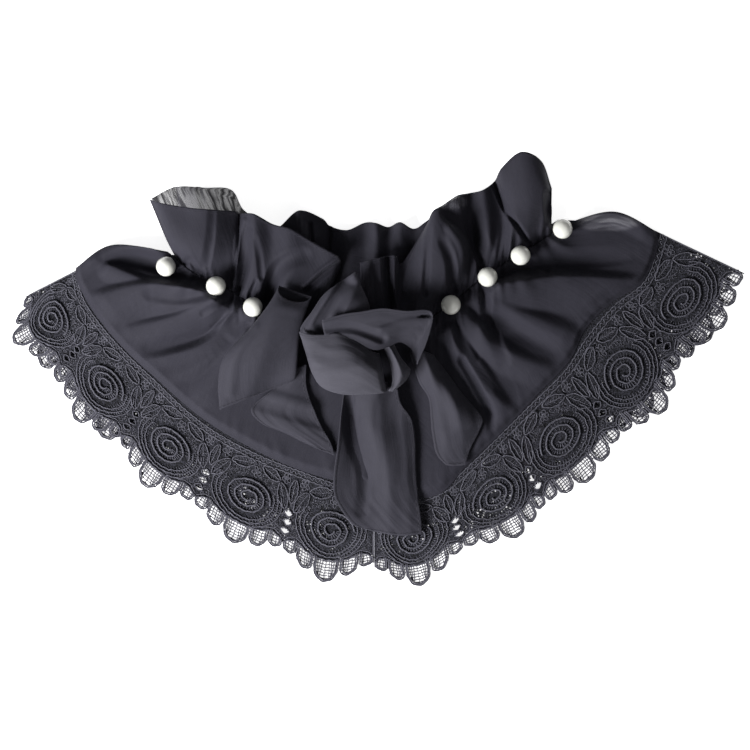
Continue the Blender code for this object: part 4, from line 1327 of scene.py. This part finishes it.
@dataclass
class Bow:
    """The tie: a wide chiffon ribbon in loops, a wrapped knot and three tails."""

    steps: int = 64
    loop_steps: tuple[int, int] = (96, 80)
    solid_loop_steps: tuple[int, int] = (14, 10)
    crumple: float = 0.16
    floor: float = 3.0
    # painted light on the left loop, which is lit more than the cloth round it
    loop_painted_light: float = 0.035
    mouth_depth: float = 5.5
    mouth_share: float = 0.3
    mouth_way: tuple[float, float] = (-0.5, -0.86)

    def settle(self, node: str, coarse: np.ndarray) -> float:
        """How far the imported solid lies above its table's height."""
        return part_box(node)[1].z / MM - float(coarse[..., 2].max())

    def ripple(self, grid: np.ndarray) -> np.ndarray:
        """Slight waves that run along the ribbon.

        Args:
            grid: The ribbon's grid.

        Returns:
            One height for each point.
        """
        across, down = grid_lengths(grid)
        waves = np.sin(down / 1.5 + 0.9 * np.sin(across / 7.0))
        waves += 0.7 * np.sin(down / 0.9 - across / 9.0)
        return self.crumple * 0.5 * waves

    def loop_grid(self, sides: int, along: int) -> np.ndarray:
        """The left loop's tube: its rings along the first axis.

        Args:
            sides: How many sides a ring has.
            along: How many steps lie along the tube.

        Returns:
            The grid.
        """
        rings = np.array(LEFT_LOOP, float)
        turn = np.linspace(0, 2 * np.pi, sides + 1)
        left, right = rings[:, None, 0:2], rings[:, None, 2:4]
        low, high = rings[:, 4:5], rings[:, 5:6]
        plan = left + (right - left) * ((1 - np.cos(turn)) / 2)[None, :, None]
        height = low + (high - low) * (1 + np.sin(turn)[None, :]) / 2
        lines = np.concatenate([plan, height[..., None]], axis=-1)
        return catmull(lines, np.linspace(0, len(rings) - 1, along + 1))

    def build_sheet(self, tie: TieStretch, wardrobe: Wardrobe) -> None:
        """Make a stretch that is an open sheet.

        Args:
            tie: The stretch.
            wardrobe: The finishes.
        """
        node = "tie_" + tie.name
        lines = [np.array(row, float) for row in tie.table]
        coarse = cloth_grid(lines, *tie.solid_steps)
        grid = cloth_grid(lines, self.steps, self.steps)
        lift = lift_together(tie.creases, grid[..., :2]) + self.ripple(grid)
        height = grid[..., 2] + self.settle(node, coarse) + lift
        grid[..., 2] = kept_above(height, self.floor)
        Cloth(
            tie.name, node, grid, Held.FOLDED, tie.rests_on, tie.hems, tone=tie.tone,
            lengthwise=True,
        ).build(wardrobe.chiffon)

    def build_loop(self, wardrobe: Wardrobe) -> None:
        """Make the left loop, a tube whose upper wall is drawn in at its mouth.

        Args:
            wardrobe: The finishes.
        """
        node = "tie_loop_left"
        grid = self.loop_grid(*self.loop_steps)
        turn = np.linspace(0, 2 * np.pi, self.loop_steps[0] + 1)
        upper = smooth(np.sin(turn), 0.0, 0.6)
        grid[..., 2] += self.settle(node, self.loop_grid(*self.solid_loop_steps))
        grid[..., 2] += lift_together(LEFT_LOOP_CREASES, grid[..., :2]) * upper[None, :]
        mouth = np.clip(1 - np.linspace(0, 1, len(grid)) / self.mouth_share, 0.0, 1.0)
        pull = self.mouth_depth * mouth[:, None] * np.clip(np.sin(turn), 0.0, None)[None, :]
        grid[..., :2] += pull[..., None] * np.array(self.mouth_way)
        loop = np.transpose(grid, (1, 0, 2))[:-1]
        Cloth(
            "loop_left", node, loop, Held.FOLDED, ON_LEFT, LOOP_HEMS, tone=self.loop_painted_light,
            closed=True,
        ).build(wardrobe.chiffon)

    def build(self, wardrobe: Wardrobe) -> None:
        """Make every stretch of the tie.

        Args:
            wardrobe: The finishes.
        """
        for tie in TIE_STRETCHES:
            self.build_sheet(tie, wardrobe)
        self.build_loop(wardrobe)


class Thread(NamedTuple):
    """A kind of cord: its radius, its height over the lace's underside and its section's sides."""

    radius: float
    height: float
    sides: int = 4


SPIRAL, SPIRAL_STITCH = Thread(0.62, 1.15), Thread(0.26, 0.8, 3)
ARC, ARC_STITCH = Thread(0.42, 1.05), Thread(0.26, 0.75, 3)
LEAF_RIM, LEAF_RIB, LEAF_VEIN = Thread(0.45, 1.0), Thread(0.34, 0.7), Thread(0.26, 0.62, 3)
FLOWER_EYE, FLOWER_PETAL = Thread(0.3, 0.85), Thread(0.32, 0.75)
SCALLOP_RIM, GAP_RIM, END_RIM = Thread(0.58, 0.8), Thread(0.42, 0.8), Thread(0.42, 0.65)
EDGE, EDGE_ECHO = Thread(0.55, 0.8), Thread(0.36, 0.7)
BAND, BAND_WAVE = Thread(0.42, 0.75), Thread(0.3, 0.65)
NET_OUT, NET_ALONG = Thread(0.33, 0.45, 3), Thread(0.33, 0.5, 3)
CURL = Thread(0.28, 0.65, 3)


class Cord(NamedTuple):
    """A cord of the lace, with its path in the lace's own millimetres."""

    path: np.ndarray
    thread: Thread
    closed: bool = False


@dataclass
class CordWork:
    """Many cords gathered into one mesh."""

    points: list[np.ndarray] = field(default_factory=list)
    faces: list[np.ndarray] = field(default_factory=list)
    ends: list[list[int]] = field(default_factory=list)
    count: int = 0

    def add(self, line: np.ndarray, thread: Thread, closed: bool) -> None:
        """Add a round cord along a line.

        Args:
            line: Its middle line.
            thread: Its kind.
            closed: Whether its end meets its start.
        """
        sides = thread.sides
        if closed:
            run = np.roll(line, -1, axis=0) - np.roll(line, 1, axis=0)
        else:
            run = np.gradient(line, axis=0)
        run /= np.maximum(np.linalg.norm(run, axis=1, keepdims=True), TINY)
        side = np.stack([-run[:, 1], run[:, 0], np.zeros(len(run))], axis=1)
        side /= np.maximum(np.linalg.norm(side, axis=1, keepdims=True), TINY)
        up = np.cross(run, side)
        turn = (2 * np.pi * (np.arange(sides) + 0.5) / sides)[None, :, None]
        ring = side[:, None] * np.cos(turn) + up[:, None] * np.sin(turn)
        self.points.append((line[:, None] + thread.radius * ring).reshape(-1, 3))
        index = self.count + np.arange(len(line) * sides).reshape(len(line), sides)
        if closed:
            index = np.concatenate([index, index[:1]])
        else:
            self.ends += [index[0][::-1].tolist(), index[-1].tolist()]
        self.faces.append(quads_of(np.concatenate([index, index[:, :1]], axis=1)))
        self.count += len(line) * sides

    def build(self, name: str, material: bpy.types.Material) -> bpy.types.Object:
        """One object of all the cords."""
        faces = np.concatenate(self.faces).tolist() + self.ends
        return new_object(name, np.concatenate(self.points), faces, material)


def on_circle(angle: np.ndarray | float) -> np.ndarray:
    """Points of a circle of radius 1 at some angles."""
    return np.stack([np.cos(angle), np.sin(angle)], axis=-1)


def plan_line(along: np.ndarray | float, out: np.ndarray | float) -> np.ndarray:
    """A line in the lace's own plan, where either measure may stay the same all along."""
    return np.stack(np.broadcast_arrays(along, out), axis=1)


def runs_of(kept: np.ndarray) -> list[tuple[int, int]]:
    """Where each run of three or more kept points starts, and where it has ended."""
    edges = np.flatnonzero(np.diff(np.concatenate([[0], kept.astype(int), [0]])))
    return [(first, last) for first, last in zip(edges[::2], edges[1::2]) if last - first > 2]


class Lobe(NamedTuple):
    """A scallop of one repeat: where it starts and ends, and how far it stands out."""

    start: float
    end: float
    depth: float


class LeafPlace(NamedTuple):
    """A leaf of one repeat, from the rose's middle, with its turn in degrees."""

    x: float
    y: float
    turn: float
    length: float
    width: float


@dataclass
class LacePattern:
    """One repeat of the guipure: a spiral rose, leaves, a netted border and its scallops.

    Its points are millimetres along the strip from the rose's middle and out from the seam.
    """

    pitch: float = 46.0
    width: float = 38.0
    lap: float = 4.2
    rose_out: float = 21.7
    rose_length: float = 12.4
    rose_width: float = 8.9
    rose_eye: float = 0.13
    rose_turns: int = 3
    turn_steps: int = 44
    stitch_pitch: float = 1.45
    arcs: tuple[float, ...] = (1.0, 1.16, 1.34, 1.52)
    arc_angles: tuple[float, float] = (-25.0, 205.0)
    arc_steps: int = 96
    bulge: float = 1.2
    ground_top: float = 35.0
    dip_place: float = 16.5
    dip_depth: float = 2.2
    dip_width: float = 4.5
    border_steps: int = 60
    band: tuple[float, float, float] = (1.0, 2.3, 3.7)
    band_wave: float = 0.7
    band_pitch: float = 3.07
    net_pitch: float = 1.4
    net_tuck: float = 1.0
    net_lean: float = 0.1
    rim_insets: tuple[float, float] = (0.6, 1.5)
    rim_steps: int = 22
    leaf_fullness: float = 0.8
    flower_reach: float = 1.75
    flower_sizes: tuple[float, float] = (0.5, 0.95)
    curl_pitch: float = 1.75
    curl_start: float = 5.7
    lobes: tuple[Lobe, ...] = (
        Lobe(-0.5, -0.34, 3.0),
        Lobe(-0.34, -0.14, 5.0),
        Lobe(-0.14, 0.14, 7.0),
        Lobe(0.14, 0.34, 5.0),
        Lobe(0.34, 0.5, 3.0),
    )
    leaves: tuple[LeafPlace, ...] = (
        LeafPlace(17.6, -7.0, 62, 13.0, 5.6),
        LeafPlace(-17.6, -7.0, 118, 13.0, 5.6),
        LeafPlace(8.2, -14.9, 16, 13.0, 5.0),
        LeafPlace(-8.2, -14.9, 164, 13.0, 5.0),
        LeafPlace(23.0, -10.5, 90, 12.0, 4.6),
    )
    flowers: tuple[tuple[float, float], ...] = ((0.0, -12.9), (17.6, -15.4), (-17.6, -15.4))
    gaps: tuple[tuple[float, float], ...] = ((22.7, 0.2), (23.3, 4.3), (22.8, 8.6))
    gap_half: tuple[float, float] = (2.2, 1.6)

    def root(self, along: np.ndarray | float) -> np.ndarray:
        """How far out the scallops start at places along one repeat."""
        return self.width + self.bulge * np.cos(2 * np.pi * np.asarray(along, float) / self.pitch)

    def edge(self, along: np.ndarray | float) -> np.ndarray:
        """The outer edge's distance from the seam at places along one repeat.

        Args:
            along: Millimetres along the strip from the rose's middle.

        Returns:
            Millimetres out from the seam.
        """
        share = np.asarray(along, float) / self.pitch
        out = self.root(along)
        for lobe in self.lobes:
            middle, half = (lobe.start + lobe.end) / 2, (lobe.end - lobe.start) / 2
            inside = np.clip(1 - ((share - middle) / half) ** 2, 0.0, 1.0)
            out = out + lobe.depth * np.sqrt(inside)
        return out

    def ground_edge(self, along: np.ndarray | float) -> np.ndarray:
        """Where the dense ground ends and the scallops' net begins.

        Args:
            along: Millimetres along the strip from the rose's middle.

        Returns:
            Millimetres out from the seam.
        """
        away = np.abs(np.asarray(along, float))
        dip = self.dip_depth * np.exp(-(((away - self.dip_place) / self.dip_width) ** 2))
        return self.ground_top - dip + 1.2 * smooth(away, 20.0, 23.0)

    def from_rose(self, x: float, y: float) -> np.ndarray:
        """A point that is given from the rose's middle."""
        return np.array([x, self.rose_out + y])

    def rose_point(self, size: np.ndarray | float, angle: np.ndarray) -> np.ndarray:
        """Points round the rose, whose outline has size 1.

        Args:
            size: The size of each point's outline.
            angle: Each point's angle.

        Returns:
            The points.
        """
        across = self.rose_length * size * np.cos(angle)
        out = self.rose_out + self.rose_width * size * np.sin(angle)
        return np.stack([across, out], axis=-1)

    def rose_size(self, angle: np.ndarray | float) -> np.ndarray | float:
        """The spiral's size at an angle that is counted over all its turns."""
        return self.rose_eye + (1 - self.rose_eye) * angle / (2 * np.pi * self.rose_turns)

    def stitch_count(self, size: float, share: float) -> int:
        """How many stitches go on a share of the rose's girth at a size."""
        girth = math.pi * (self.rose_length + self.rose_width) * size
        return int(girth * share / self.stitch_pitch)

    def outside_gaps(self, points: np.ndarray, reach: float) -> np.ndarray:
        """Whether points lie outside the diamond gaps and the rims round them.

        Args:
            points: Points of the lace's plan, in millimetres.
            reach: The rims' reach, where 1 is a gap's own.

        Returns:
            True for each that does.
        """
        apart = np.ones(points.shape[:-1], bool)
        half_x, half_y = self.gap_half
        for x, y in self.gaps:
            for shift in (0.0, -self.pitch):
                across = np.abs(points[..., 0] - x - shift) / half_x
                out = np.abs(points[..., 1] - self.rose_out - y) / half_y
                apart &= across + out > reach
        return apart

    def in_ground(self, points: np.ndarray, margin: float) -> np.ndarray:
        """Whether points lie on the dense ground, off its edge and its gaps.

        Args:
            points: Points of the lace's plan, in millimetres.
            margin: How far they stay from the ground's edge.

        Returns:
            True for each that does.
        """
        within = points[..., 1] < self.ground_edge(points[..., 0]) - margin
        within &= np.abs(points[..., 0]) < self.pitch / 2 - 0.2
        return within & self.outside_gaps(points, 1.25)

    def rose_cords(self) -> list[Cord]:
        """The spiral rose, with stitches from turn to turn.

        Returns:
            The cords, in order.
        """
        full = 2 * np.pi
        angle = np.linspace(0, full * self.rose_turns, self.turn_steps * self.rose_turns)
        cords = [Cord(self.rose_point(self.rose_size(angle), angle), SPIRAL)]
        for turn in range(self.rose_turns - 1):
            count = self.stitch_count(self.rose_size(full * (turn + 1.0)), 1.0)
            for start in np.linspace(full * turn, full * (turn + 1), count, endpoint=False):
                ends = np.array([start, start + full])
                cords.append(Cord(self.rose_point(self.rose_size(ends), ends), SPIRAL_STITCH))
        return cords

    def arc_cords(self) -> list[Cord]:
        """Arcs round the outer half of the rose, with stitches between them.

        Returns:
            The cords, in order.
        """
        low, high = self.arc_angles
        cords = []
        for inner, outer in zip(self.arcs, self.arcs[1:]):
            line = self.rose_point(outer, np.radians(np.linspace(low, high, self.arc_steps)))
            for first, last in runs_of(self.in_ground(line, 0.5)):
                cords.append(Cord(line[first:last], ARC))
            count = self.stitch_count(outer, (high - low) / 360)
            for turn in np.radians(np.linspace(low, high, count)):
                stitch = self.rose_point(np.array([inner, outer]), np.array([turn, turn]))
                if self.in_ground(stitch, 0.2).all():
                    cords.append(Cord(stitch, ARC_STITCH))
        return cords

    def leaf_cords(self, leaf: LeafPlace) -> list[Cord]:
        """A leaf's outline, its rib and its veins.

        Args:
            leaf: The leaf.

        Returns:
            The cords, in order.
        """
        ahead = on_circle(math.radians(leaf.turn))
        beside = np.array([-ahead[1], ahead[0]])
        centre = self.from_rose(leaf.x, leaf.y)
        half_length, half_width = leaf.length / 2, leaf.width / 2
        share = np.linspace(-1, 1, 14)[:, None]
        bow = half_width * (1 - share**2) ** self.leaf_fullness
        rib = centre + np.linspace(-1, 0.9, 8)[:, None] * half_length * ahead
        cords = []
        for sign in (1, -1):
            half = centre + share * half_length * ahead + sign * bow * beside
            cords.append(Cord(half, LEAF_RIM))
        cords.append(Cord(rib, LEAF_RIB))
        for place in np.linspace(-0.72, 0.66, 7):
            reach = half_width * (1 - place**2) ** self.leaf_fullness * 0.92
            root = centre + place * half_length * ahead
            for sign in (1, -1):
                tip = root + 0.13 * leaf.length * ahead + sign * reach * beside
                cords.append(Cord(np.stack([root, tip]), LEAF_VEIN))
        return cords

    def flower_cords(self) -> list[Cord]:
        """Small flowers of five rings round a middle ring.

        Returns:
            The cords, in order.
        """
        cords = []
        ring = on_circle(np.radians(np.arange(0, 360, 45)))
        eye_size, petal_size = self.flower_sizes
        for flower in self.flowers:
            centre = self.from_rose(*flower)
            cords.append(Cord(centre + eye_size * ring, FLOWER_EYE, True))
            for petal in on_circle(np.radians(np.arange(18, 378, 72))):
                middle = centre + self.flower_reach * petal
                cords.append(Cord(middle + petal_size * ring, FLOWER_PETAL, True))
        return cords

    def rim_cord(self, lobe: Lobe, inset: float) -> Cord:
        """A scallop's rim: up one side from the ground, round the tip and down the other side.

        Args:
            lobe: The scallop.
            inset: How far inside its outline the rim runs.

        Returns:
            The rim.
        """
        start, end = lobe.start * self.pitch + inset, lobe.end * self.pitch - inset
        middle, half = (start + end) / 2, (end - start) / 2
        angle = np.linspace(0, np.pi, self.rim_steps)
        along = middle - half * np.cos(angle)
        tip = plan_line(along, self.root(along) + (lobe.depth - inset) * np.sin(angle))
        up, down = (
            plan_line(place, np.linspace(self.ground_edge(place) - 0.8, self.root(place), 5)[:-1])
            for place in (start, end)
        )
        return Cord(np.concatenate([up, tip, down[::-1]]), SCALLOP_RIM)

    def border_cords(self) -> list[Cord]:
        """The seam's band, the ground's edge and the scallops' rims.

        Returns:
            The cords, in order.
        """
        along = np.linspace(-self.pitch / 2, self.pitch / 2, self.border_steps)
        edge = self.ground_edge(along)
        low, middle, high = self.band
        wave = middle + self.band_wave * np.sin(along * 2 * np.pi / self.band_pitch)
        lines = (
            (edge, EDGE), (edge - 1.5, EDGE_ECHO), (low, BAND), (wave, BAND_WAVE), (high, BAND),
        )
        cords = [Cord(plan_line(along, out), thread) for out, thread in lines]
        for lobe in self.lobes:
            cords += [self.rim_cord(lobe, inset) for inset in self.rim_insets]
        return cords

    def net_cords(self) -> list[Cord]:
        """The net in the scallops.

        Returns:
            The cords, in order.
        """
        half = self.pitch / 2
        cords = []
        for along in np.arange(-half + 0.6, half, self.net_pitch):
            low = float(self.ground_edge(along)) - self.net_tuck
            high = float(self.edge(along)) - self.net_tuck
            if high > low + 0.5:
                out = np.linspace(low, high, max(2, int((high - low) / 1.6) + 1))
                lean = self.net_lean * (out - low) * math.sin(along)
                cords.append(Cord(plan_line(along + lean, out), NET_OUT))
        fine = np.linspace(-half, half, 120)
        limit = self.edge(fine) - self.net_tuck
        start = self.ground_edge(fine) - self.net_tuck
        top = self.width + 9.0
        for out in np.arange(self.ground_top - self.dip_depth, top, self.net_pitch):
            for first, last in runs_of((limit > out) & (start < out)):
                left, right = fine[first], fine[last - 1]
                along = np.linspace(left, right, max(2, int((right - left) / 1.5) + 1))
                cords.append(Cord(plan_line(along, out), NET_ALONG))
        return cords

    def gap_cords(self) -> list[Cord]:
        """Rims of the diamond gaps between two roses.

        Returns:
            The cords, in order.
        """
        turn = on_circle(np.radians(np.arange(0, 360, 30)))
        reach = 0.6 / np.abs(turn).sum(axis=1, keepdims=True) + 0.34
        rim = 1.16 * np.array(self.gap_half) * reach * turn
        return [Cord(self.from_rose(*gap) + rim, GAP_RIM, True) for gap in self.gaps]

    def motif_cords(self) -> list[Cord]:
        """All the cords that every repeat has.

        Returns:
            The cords, in order.
        """
        cords = self.rose_cords() + self.arc_cords() + self.border_cords() + self.net_cords()
        cords += self.flower_cords() + self.gap_cords()
        for leaf in self.leaves:
            cords += self.leaf_cords(leaf)
        return cords

    def is_free(self, spot: np.ndarray) -> bool:
        """Whether a curl fits at a spot between the motifs.

        Args:
            spot: The curl's middle.

        Returns:
            True where it fits.
        """
        if not self.in_ground(spot, 1.7) or not self.outside_gaps(spot, 1.7):
            return False
        across, out = spot[0] / self.rose_length, (spot[1] - self.rose_out) / self.rose_width
        low, high = self.arc_angles
        turn = (math.degrees(math.atan2(out, across)) - low) % 360
        if math.hypot(across, out) < (self.arcs[-1] + 0.08 if turn < high - low else 1.14):
            return False
        for leaf in self.leaves:
            way_x, way_y = on_circle(math.radians(leaf.turn))
            for shift in (0.0, -self.pitch):
                x, y = spot - self.from_rose(leaf.x + shift, leaf.y)
                ahead = (x * way_x + y * way_y) / (leaf.length / 2 + 0.7)
                beside = (y * way_x - x * way_y) / (leaf.width / 2 + 0.7)
                if ahead**2 + beside**2 < 1:
                    return False
        return all(math.dist(spot, self.from_rose(*flower)) > 3.4 for flower in self.flowers)

    def curl_cords(self, seed: int) -> list[Cord]:
        """Small curls that fill the ground between the motifs.

        Args:
            seed: The seed of the draws.

        Returns:
            The cords, in order.
        """
        dice = np.random.default_rng(seed)
        half = self.pitch / 2
        cords = []
        for out in np.arange(self.curl_start, self.ground_top, self.curl_pitch):
            for along in np.arange(-half + 1.0, half - 0.5, self.curl_pitch):
                spot = np.array([along, out]) + dice.uniform(-0.45, 0.45, 2)
                radius = dice.uniform(0.62, 0.98)
                angle = dice.uniform(0, 6.3) + np.linspace(0, dice.uniform(4.2, 6.0), 8)
                if self.is_free(spot):
                    cords.append(Cord(spot + radius * on_circle(angle), CURL))
        return cords


@dataclass
class LaceTrim:
    """One stretch of the lace: a dense ground with cords worked over it."""

    name: str
    node: str
    rows: list[LaceRow]
    repeats: int
    lift: float
    rests_on: tuple[str, ...]
    filled: bool = True
    pattern: LacePattern = field(default_factory=LacePattern)
    fall: float = 0.3
    seam_rise: float = 1.0
    wobble: float = 0.16
    ground_step: float = 1.0
    ground_rows: int = 38
    ground_height: float = 0.75
    ground_start: float = 0.4
    end_slack: float = 0.2
    end_inset: float = 0.3
    end_steps: int = 30
    first_seed: int = 31

    @property
    def start(self) -> float:
        """Where the strip starts, from its first rose."""
        return -self.pattern.pitch / 2

    @property
    def end(self) -> float:
        """Where the strip ends, from its first rose."""
        return self.pattern.pitch * (self.repeats - 0.5)

    def place(
        self, along: np.ndarray, out: np.ndarray, height: np.ndarray | float
    ) -> np.ndarray:
        """Points of the laid lace.

        Args:
            along: Millimetres along the strip from the first rose.
            out: Millimetres from the seam.
            height: Height over the lace's underside.

        Returns:
            The points in the frame's axes, in millimetres.
        """
        table = np.array(self.rows, float)
        run = (along / self.pattern.pitch + 0.5) / self.repeats
        row = catmull(table, run * (len(table) - 1))
        seam, edge, carried = row[:, 0:2], row[:, 2:4], row[:, 4]
        width = np.linalg.norm(edge - seam, axis=1)
        inside = np.minimum(out, self.pattern.width) / self.pattern.width * width
        reach = inside + np.maximum(out - self.pattern.width, 0.0)
        plan = seam + (edge - seam) / width[:, None] * reach[:, None]
        total = reach / width
        level = self.lift * (1 - smooth((total - carried) / self.fall, 0.0, 1.0))
        if self.lift:
            level = level + self.seam_rise * (1 - smooth(total, 0.0, 0.16))
        return np.concatenate([plan, (level + height)[:, None]], axis=1)

    def ground(self, material: bpy.types.Material) -> bpy.types.Object:
        """The dense ground, with its diamond gaps cut through.

        Args:
            material: Its finish.

        Returns:
            The piece.
        """
        pitch = self.pattern.pitch
        columns = int(pitch / self.ground_step) * self.repeats
        along = np.linspace(self.start, self.end, columns + 1)[:, None]
        low = -self.pattern.lap if self.lift else self.ground_start
        high = self.pattern.ground_edge((along + pitch / 2) % pitch - pitch / 2)
        out = low + (high - low) * np.linspace(0, 1, self.ground_rows + 1)[None, :]
        flat = np.stack(np.broadcast_arrays(along, out), axis=-1).reshape(-1, 2)
        points = self.place(flat[:, 0], flat[:, 1], self.ground_height)
        quads = quads_of(np.arange(len(points)).reshape(out.shape))
        middle = flat[quads].mean(axis=1)
        from_end = np.minimum(middle[:, 0] - self.start, self.end - middle[:, 0])
        middle[:, 0] = (middle[:, 0] + pitch / 2) % pitch - pitch / 2
        quads = quads[self.pattern.outside_gaps(middle, 1.0) | (from_end < END_BAND)]
        if face_normals(points, quads)[:, 2].sum() < 0:
            quads = quads[:, ::-1]
        used, numbers = np.unique(quads, return_inverse=True)
        faces = numbers.reshape(quads.shape).tolist()
        piece = new_object(self.name, points[used], faces, material)
        add_wall(piece, GROUND_WALL)
        return piece

    def cords(self, material: bpy.types.Material) -> bpy.types.Object:
        """The cords of every repeat, and a cord down each end.

        Args:
            material: Their finish.

        Returns:
            The piece.
        """
        work = CordWork()
        pattern = self.pattern
        motifs = pattern.motif_cords()
        for repeat in range(self.repeats):
            curls = pattern.curl_cords(self.first_seed + repeat) if self.filled else []
            for path, thread, closed in motifs + curls:
                path = path + self.wobble * np.sin(path[:, ::-1] * 1.7 + 2.1 * repeat)
                path[:, 0] += repeat * pattern.pitch
                from_end = np.minimum(path[:, 0] - self.start, self.end - path[:, 0])
                keep = from_end > -self.end_slack
                if not keep.all() and (closed or keep.sum() < 2):
                    continue
                path = path[keep]
                work.add(self.place(path[:, 0], path[:, 1], thread.height), thread, closed)
        out = np.linspace(0.6, pattern.width + 0.6, self.end_steps)
        for end in (self.start + self.end_inset, self.end - self.end_inset):
            line = self.place(np.full(self.end_steps, end), out, END_RIM.height)
            work.add(line, END_RIM, False)
        return work.build(self.name + "_cords", material)

    def build(self, wardrobe: Wardrobe) -> None:
        """Make the stretch and dress it.

        Args:
            wardrobe: The finishes.
        """
        ground = self.ground(wardrobe.ground)
        cords = self.cords(wardrobe.cord)
        for piece in (ground, cords):
            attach(piece, BODY)
        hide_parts(self.node)
        length = self.pattern.pitch * self.repeats * MM
        width = (self.pattern.ground_top + (self.pattern.lap if self.lift else 0.0)) * MM
        log.info("%s: %d repeats, %d cord faces", self.name, self.repeats, len(cords.data.polygons))


@dataclass
class PearlRow:
    """Seven round pearls sewn on the gathering line."""

    diameter: float = 10.0
    count: int = 7
    segments: int = 40
    rings: int = 24
    hole_radius: float = 0.45
    hole_dent: float = 0.86
    seam_turn: float = -0.6

    def bead(self, name: str, centre: Vector, material: bpy.types.Material) -> bpy.types.Object:
        """A pearl with its drill hole along the seam.

        Args:
            name: The piece's name.
            centre: Its middle, in metres.
            material: Its finish.

        Returns:
            The piece.
        """
        bpy.ops.object.select_all(action="DESELECT")
        bpy.ops.mesh.primitive_uv_sphere_add(
            segments=self.segments, ring_count=self.rings, radius=self.diameter / 2 * MM
        )
        bead = bpy.context.object
        bead.name = name
        for vertex in bead.data.vertices:
            if math.hypot(vertex.co.x, vertex.co.y) < self.hole_radius * MM:
                vertex.co.z *= self.hole_dent
        bpy.ops.object.mode_set(mode="EDIT")
        bpy.ops.mesh.select_all(action="SELECT")
        for turn, axis in ((math.pi / 2, "Y"), (self.seam_turn, "Z")):
            bpy.ops.transform.rotate(value=turn, orient_axis=axis, center_override=(0, 0, 0))
        bpy.ops.mesh.normals_make_consistent(inside=False)
        bpy.ops.object.mode_set(mode="OBJECT")
        for vertex in bead.data.vertices:
            vertex.co += centre
        bead.data.materials.append(material)
        bead.data.shade_smooth()
        return bead

    def build(self, wardrobe: Wardrobe) -> None:
        """Make each pearl at its solid's place.

        Args:
            wardrobe: The finishes.
        """
        for number in range(1, self.count + 1):
            node = f"pearl_{number}"
            low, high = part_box(node)
            centre = (low + high) / 2
            bead = self.bead(f"bead_{number}", centre, wardrobe.pearl)
            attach(bead, BODY)
            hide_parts(node)
            log.info("bead_%d at %.0f, %.0f mm", number, centre.x / MM, centre.y / MM)


class Lamp(NamedTuple):
    """A square soft light: its name, its place, its width and its power."""

    name: str
    place: tuple[float, float, float]
    width: float
    power: float


@dataclass
class Studio:
    """A pale floor, soft light and the camera straight above."""

    pixel: float = 0.51
    aim_x: float = -6.5
    aim_y: float = -6.5
    height: float = 1500.0
    sensor: float = 36.0
    frame_pixels: int = 750
    floor_size: float = 6.0
    floor_drop: float = 0.0002
    sky: float = 0.15
    lamps: tuple[Lamp, ...] = (
        Lamp("key", (-0.64, -0.46, 0.53), 0.42, 25.0),
        Lamp("fill", (0.7, -0.5, 1.3), 1.0, 2.0),
    )

    def camera(self) -> None:
        """Look straight down, framed as the photograph is."""
        data = bpy.data.cameras.new("camera")
        camera = bpy.data.objects.new("camera", data)
        bpy.context.scene.collection.objects.link(camera)
        data.sensor_width = self.sensor
        data.lens = self.sensor * self.height / (self.frame_pixels * self.pixel)
        aim_x, aim_y = self.aim_x * self.pixel, self.aim_y * self.pixel
        camera.location = (aim_x * MM, aim_y * MM, self.height * MM)
        bpy.context.scene.camera = camera

    def light(self, lamp: Lamp) -> None:
        """Put up a lamp that looks at the collar.

        Args:
            lamp: The lamp.
        """
        data = bpy.data.lights.new(lamp.name, "AREA")
        data.energy = lamp.power
        data.size = lamp.width
        stand = bpy.data.objects.new(lamp.name, data)
        bpy.context.scene.collection.objects.link(stand)
        stand.location = lamp.place
        stand.rotation_euler = (-Vector(lamp.place)).to_track_quat("-Z", "Y").to_euler()

    def build(self, wardrobe: Wardrobe) -> None:
        """Make the floor, the light and the camera.

        Args:
            wardrobe: The finishes.
        """
        place = (0, 0, -self.floor_drop)
        bpy.ops.mesh.primitive_plane_add(size=self.floor_size, location=place)
        floor = bpy.context.object
        floor.name = "floor"
        floor.data.materials.append(wardrobe.floor)
        world = bpy.data.worlds.new("studio")
        bpy.context.scene.world = world
        world.use_nodes = True
        backdrop = world.node_tree.nodes["Background"]
        backdrop.inputs["Color"].default_value = (1.0, 1.0, 1.0, 1.0)
        backdrop.inputs["Strength"].default_value = self.sky
        for lamp in self.lamps:
            self.light(lamp)
        bpy.context.scene.view_settings.view_transform = "Standard"
        self.camera()


def main() -> None:
    """Dress the frame from the floor up."""
    logging.basicConfig(level=logging.INFO, format="%(message)s")
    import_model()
    wardrobe = Wardrobe()
    Studio().build(wardrobe)
    on_back = ("lace_back",)
    for trim in (
        LaceTrim("lace_behind", "lace_back", BACK_LACE, 8, 0.0, ("floor",), False),
        LaceTrim("lace_left", "lace_front_left", FRONT_LEFT_LACE, 5, LACE_LIFT, on_back),
        LaceTrim("lace_right", "lace_front_right", FRONT_RIGHT_LACE, 5, LACE_LIFT, on_back),
    ):
        trim.build(wardrobe)
    for assembly in (Flounce(), NeckRuffle(), Bow(), PearlRow()):
        assembly.build(wardrobe)


if __name__ == "__main__":
    main()
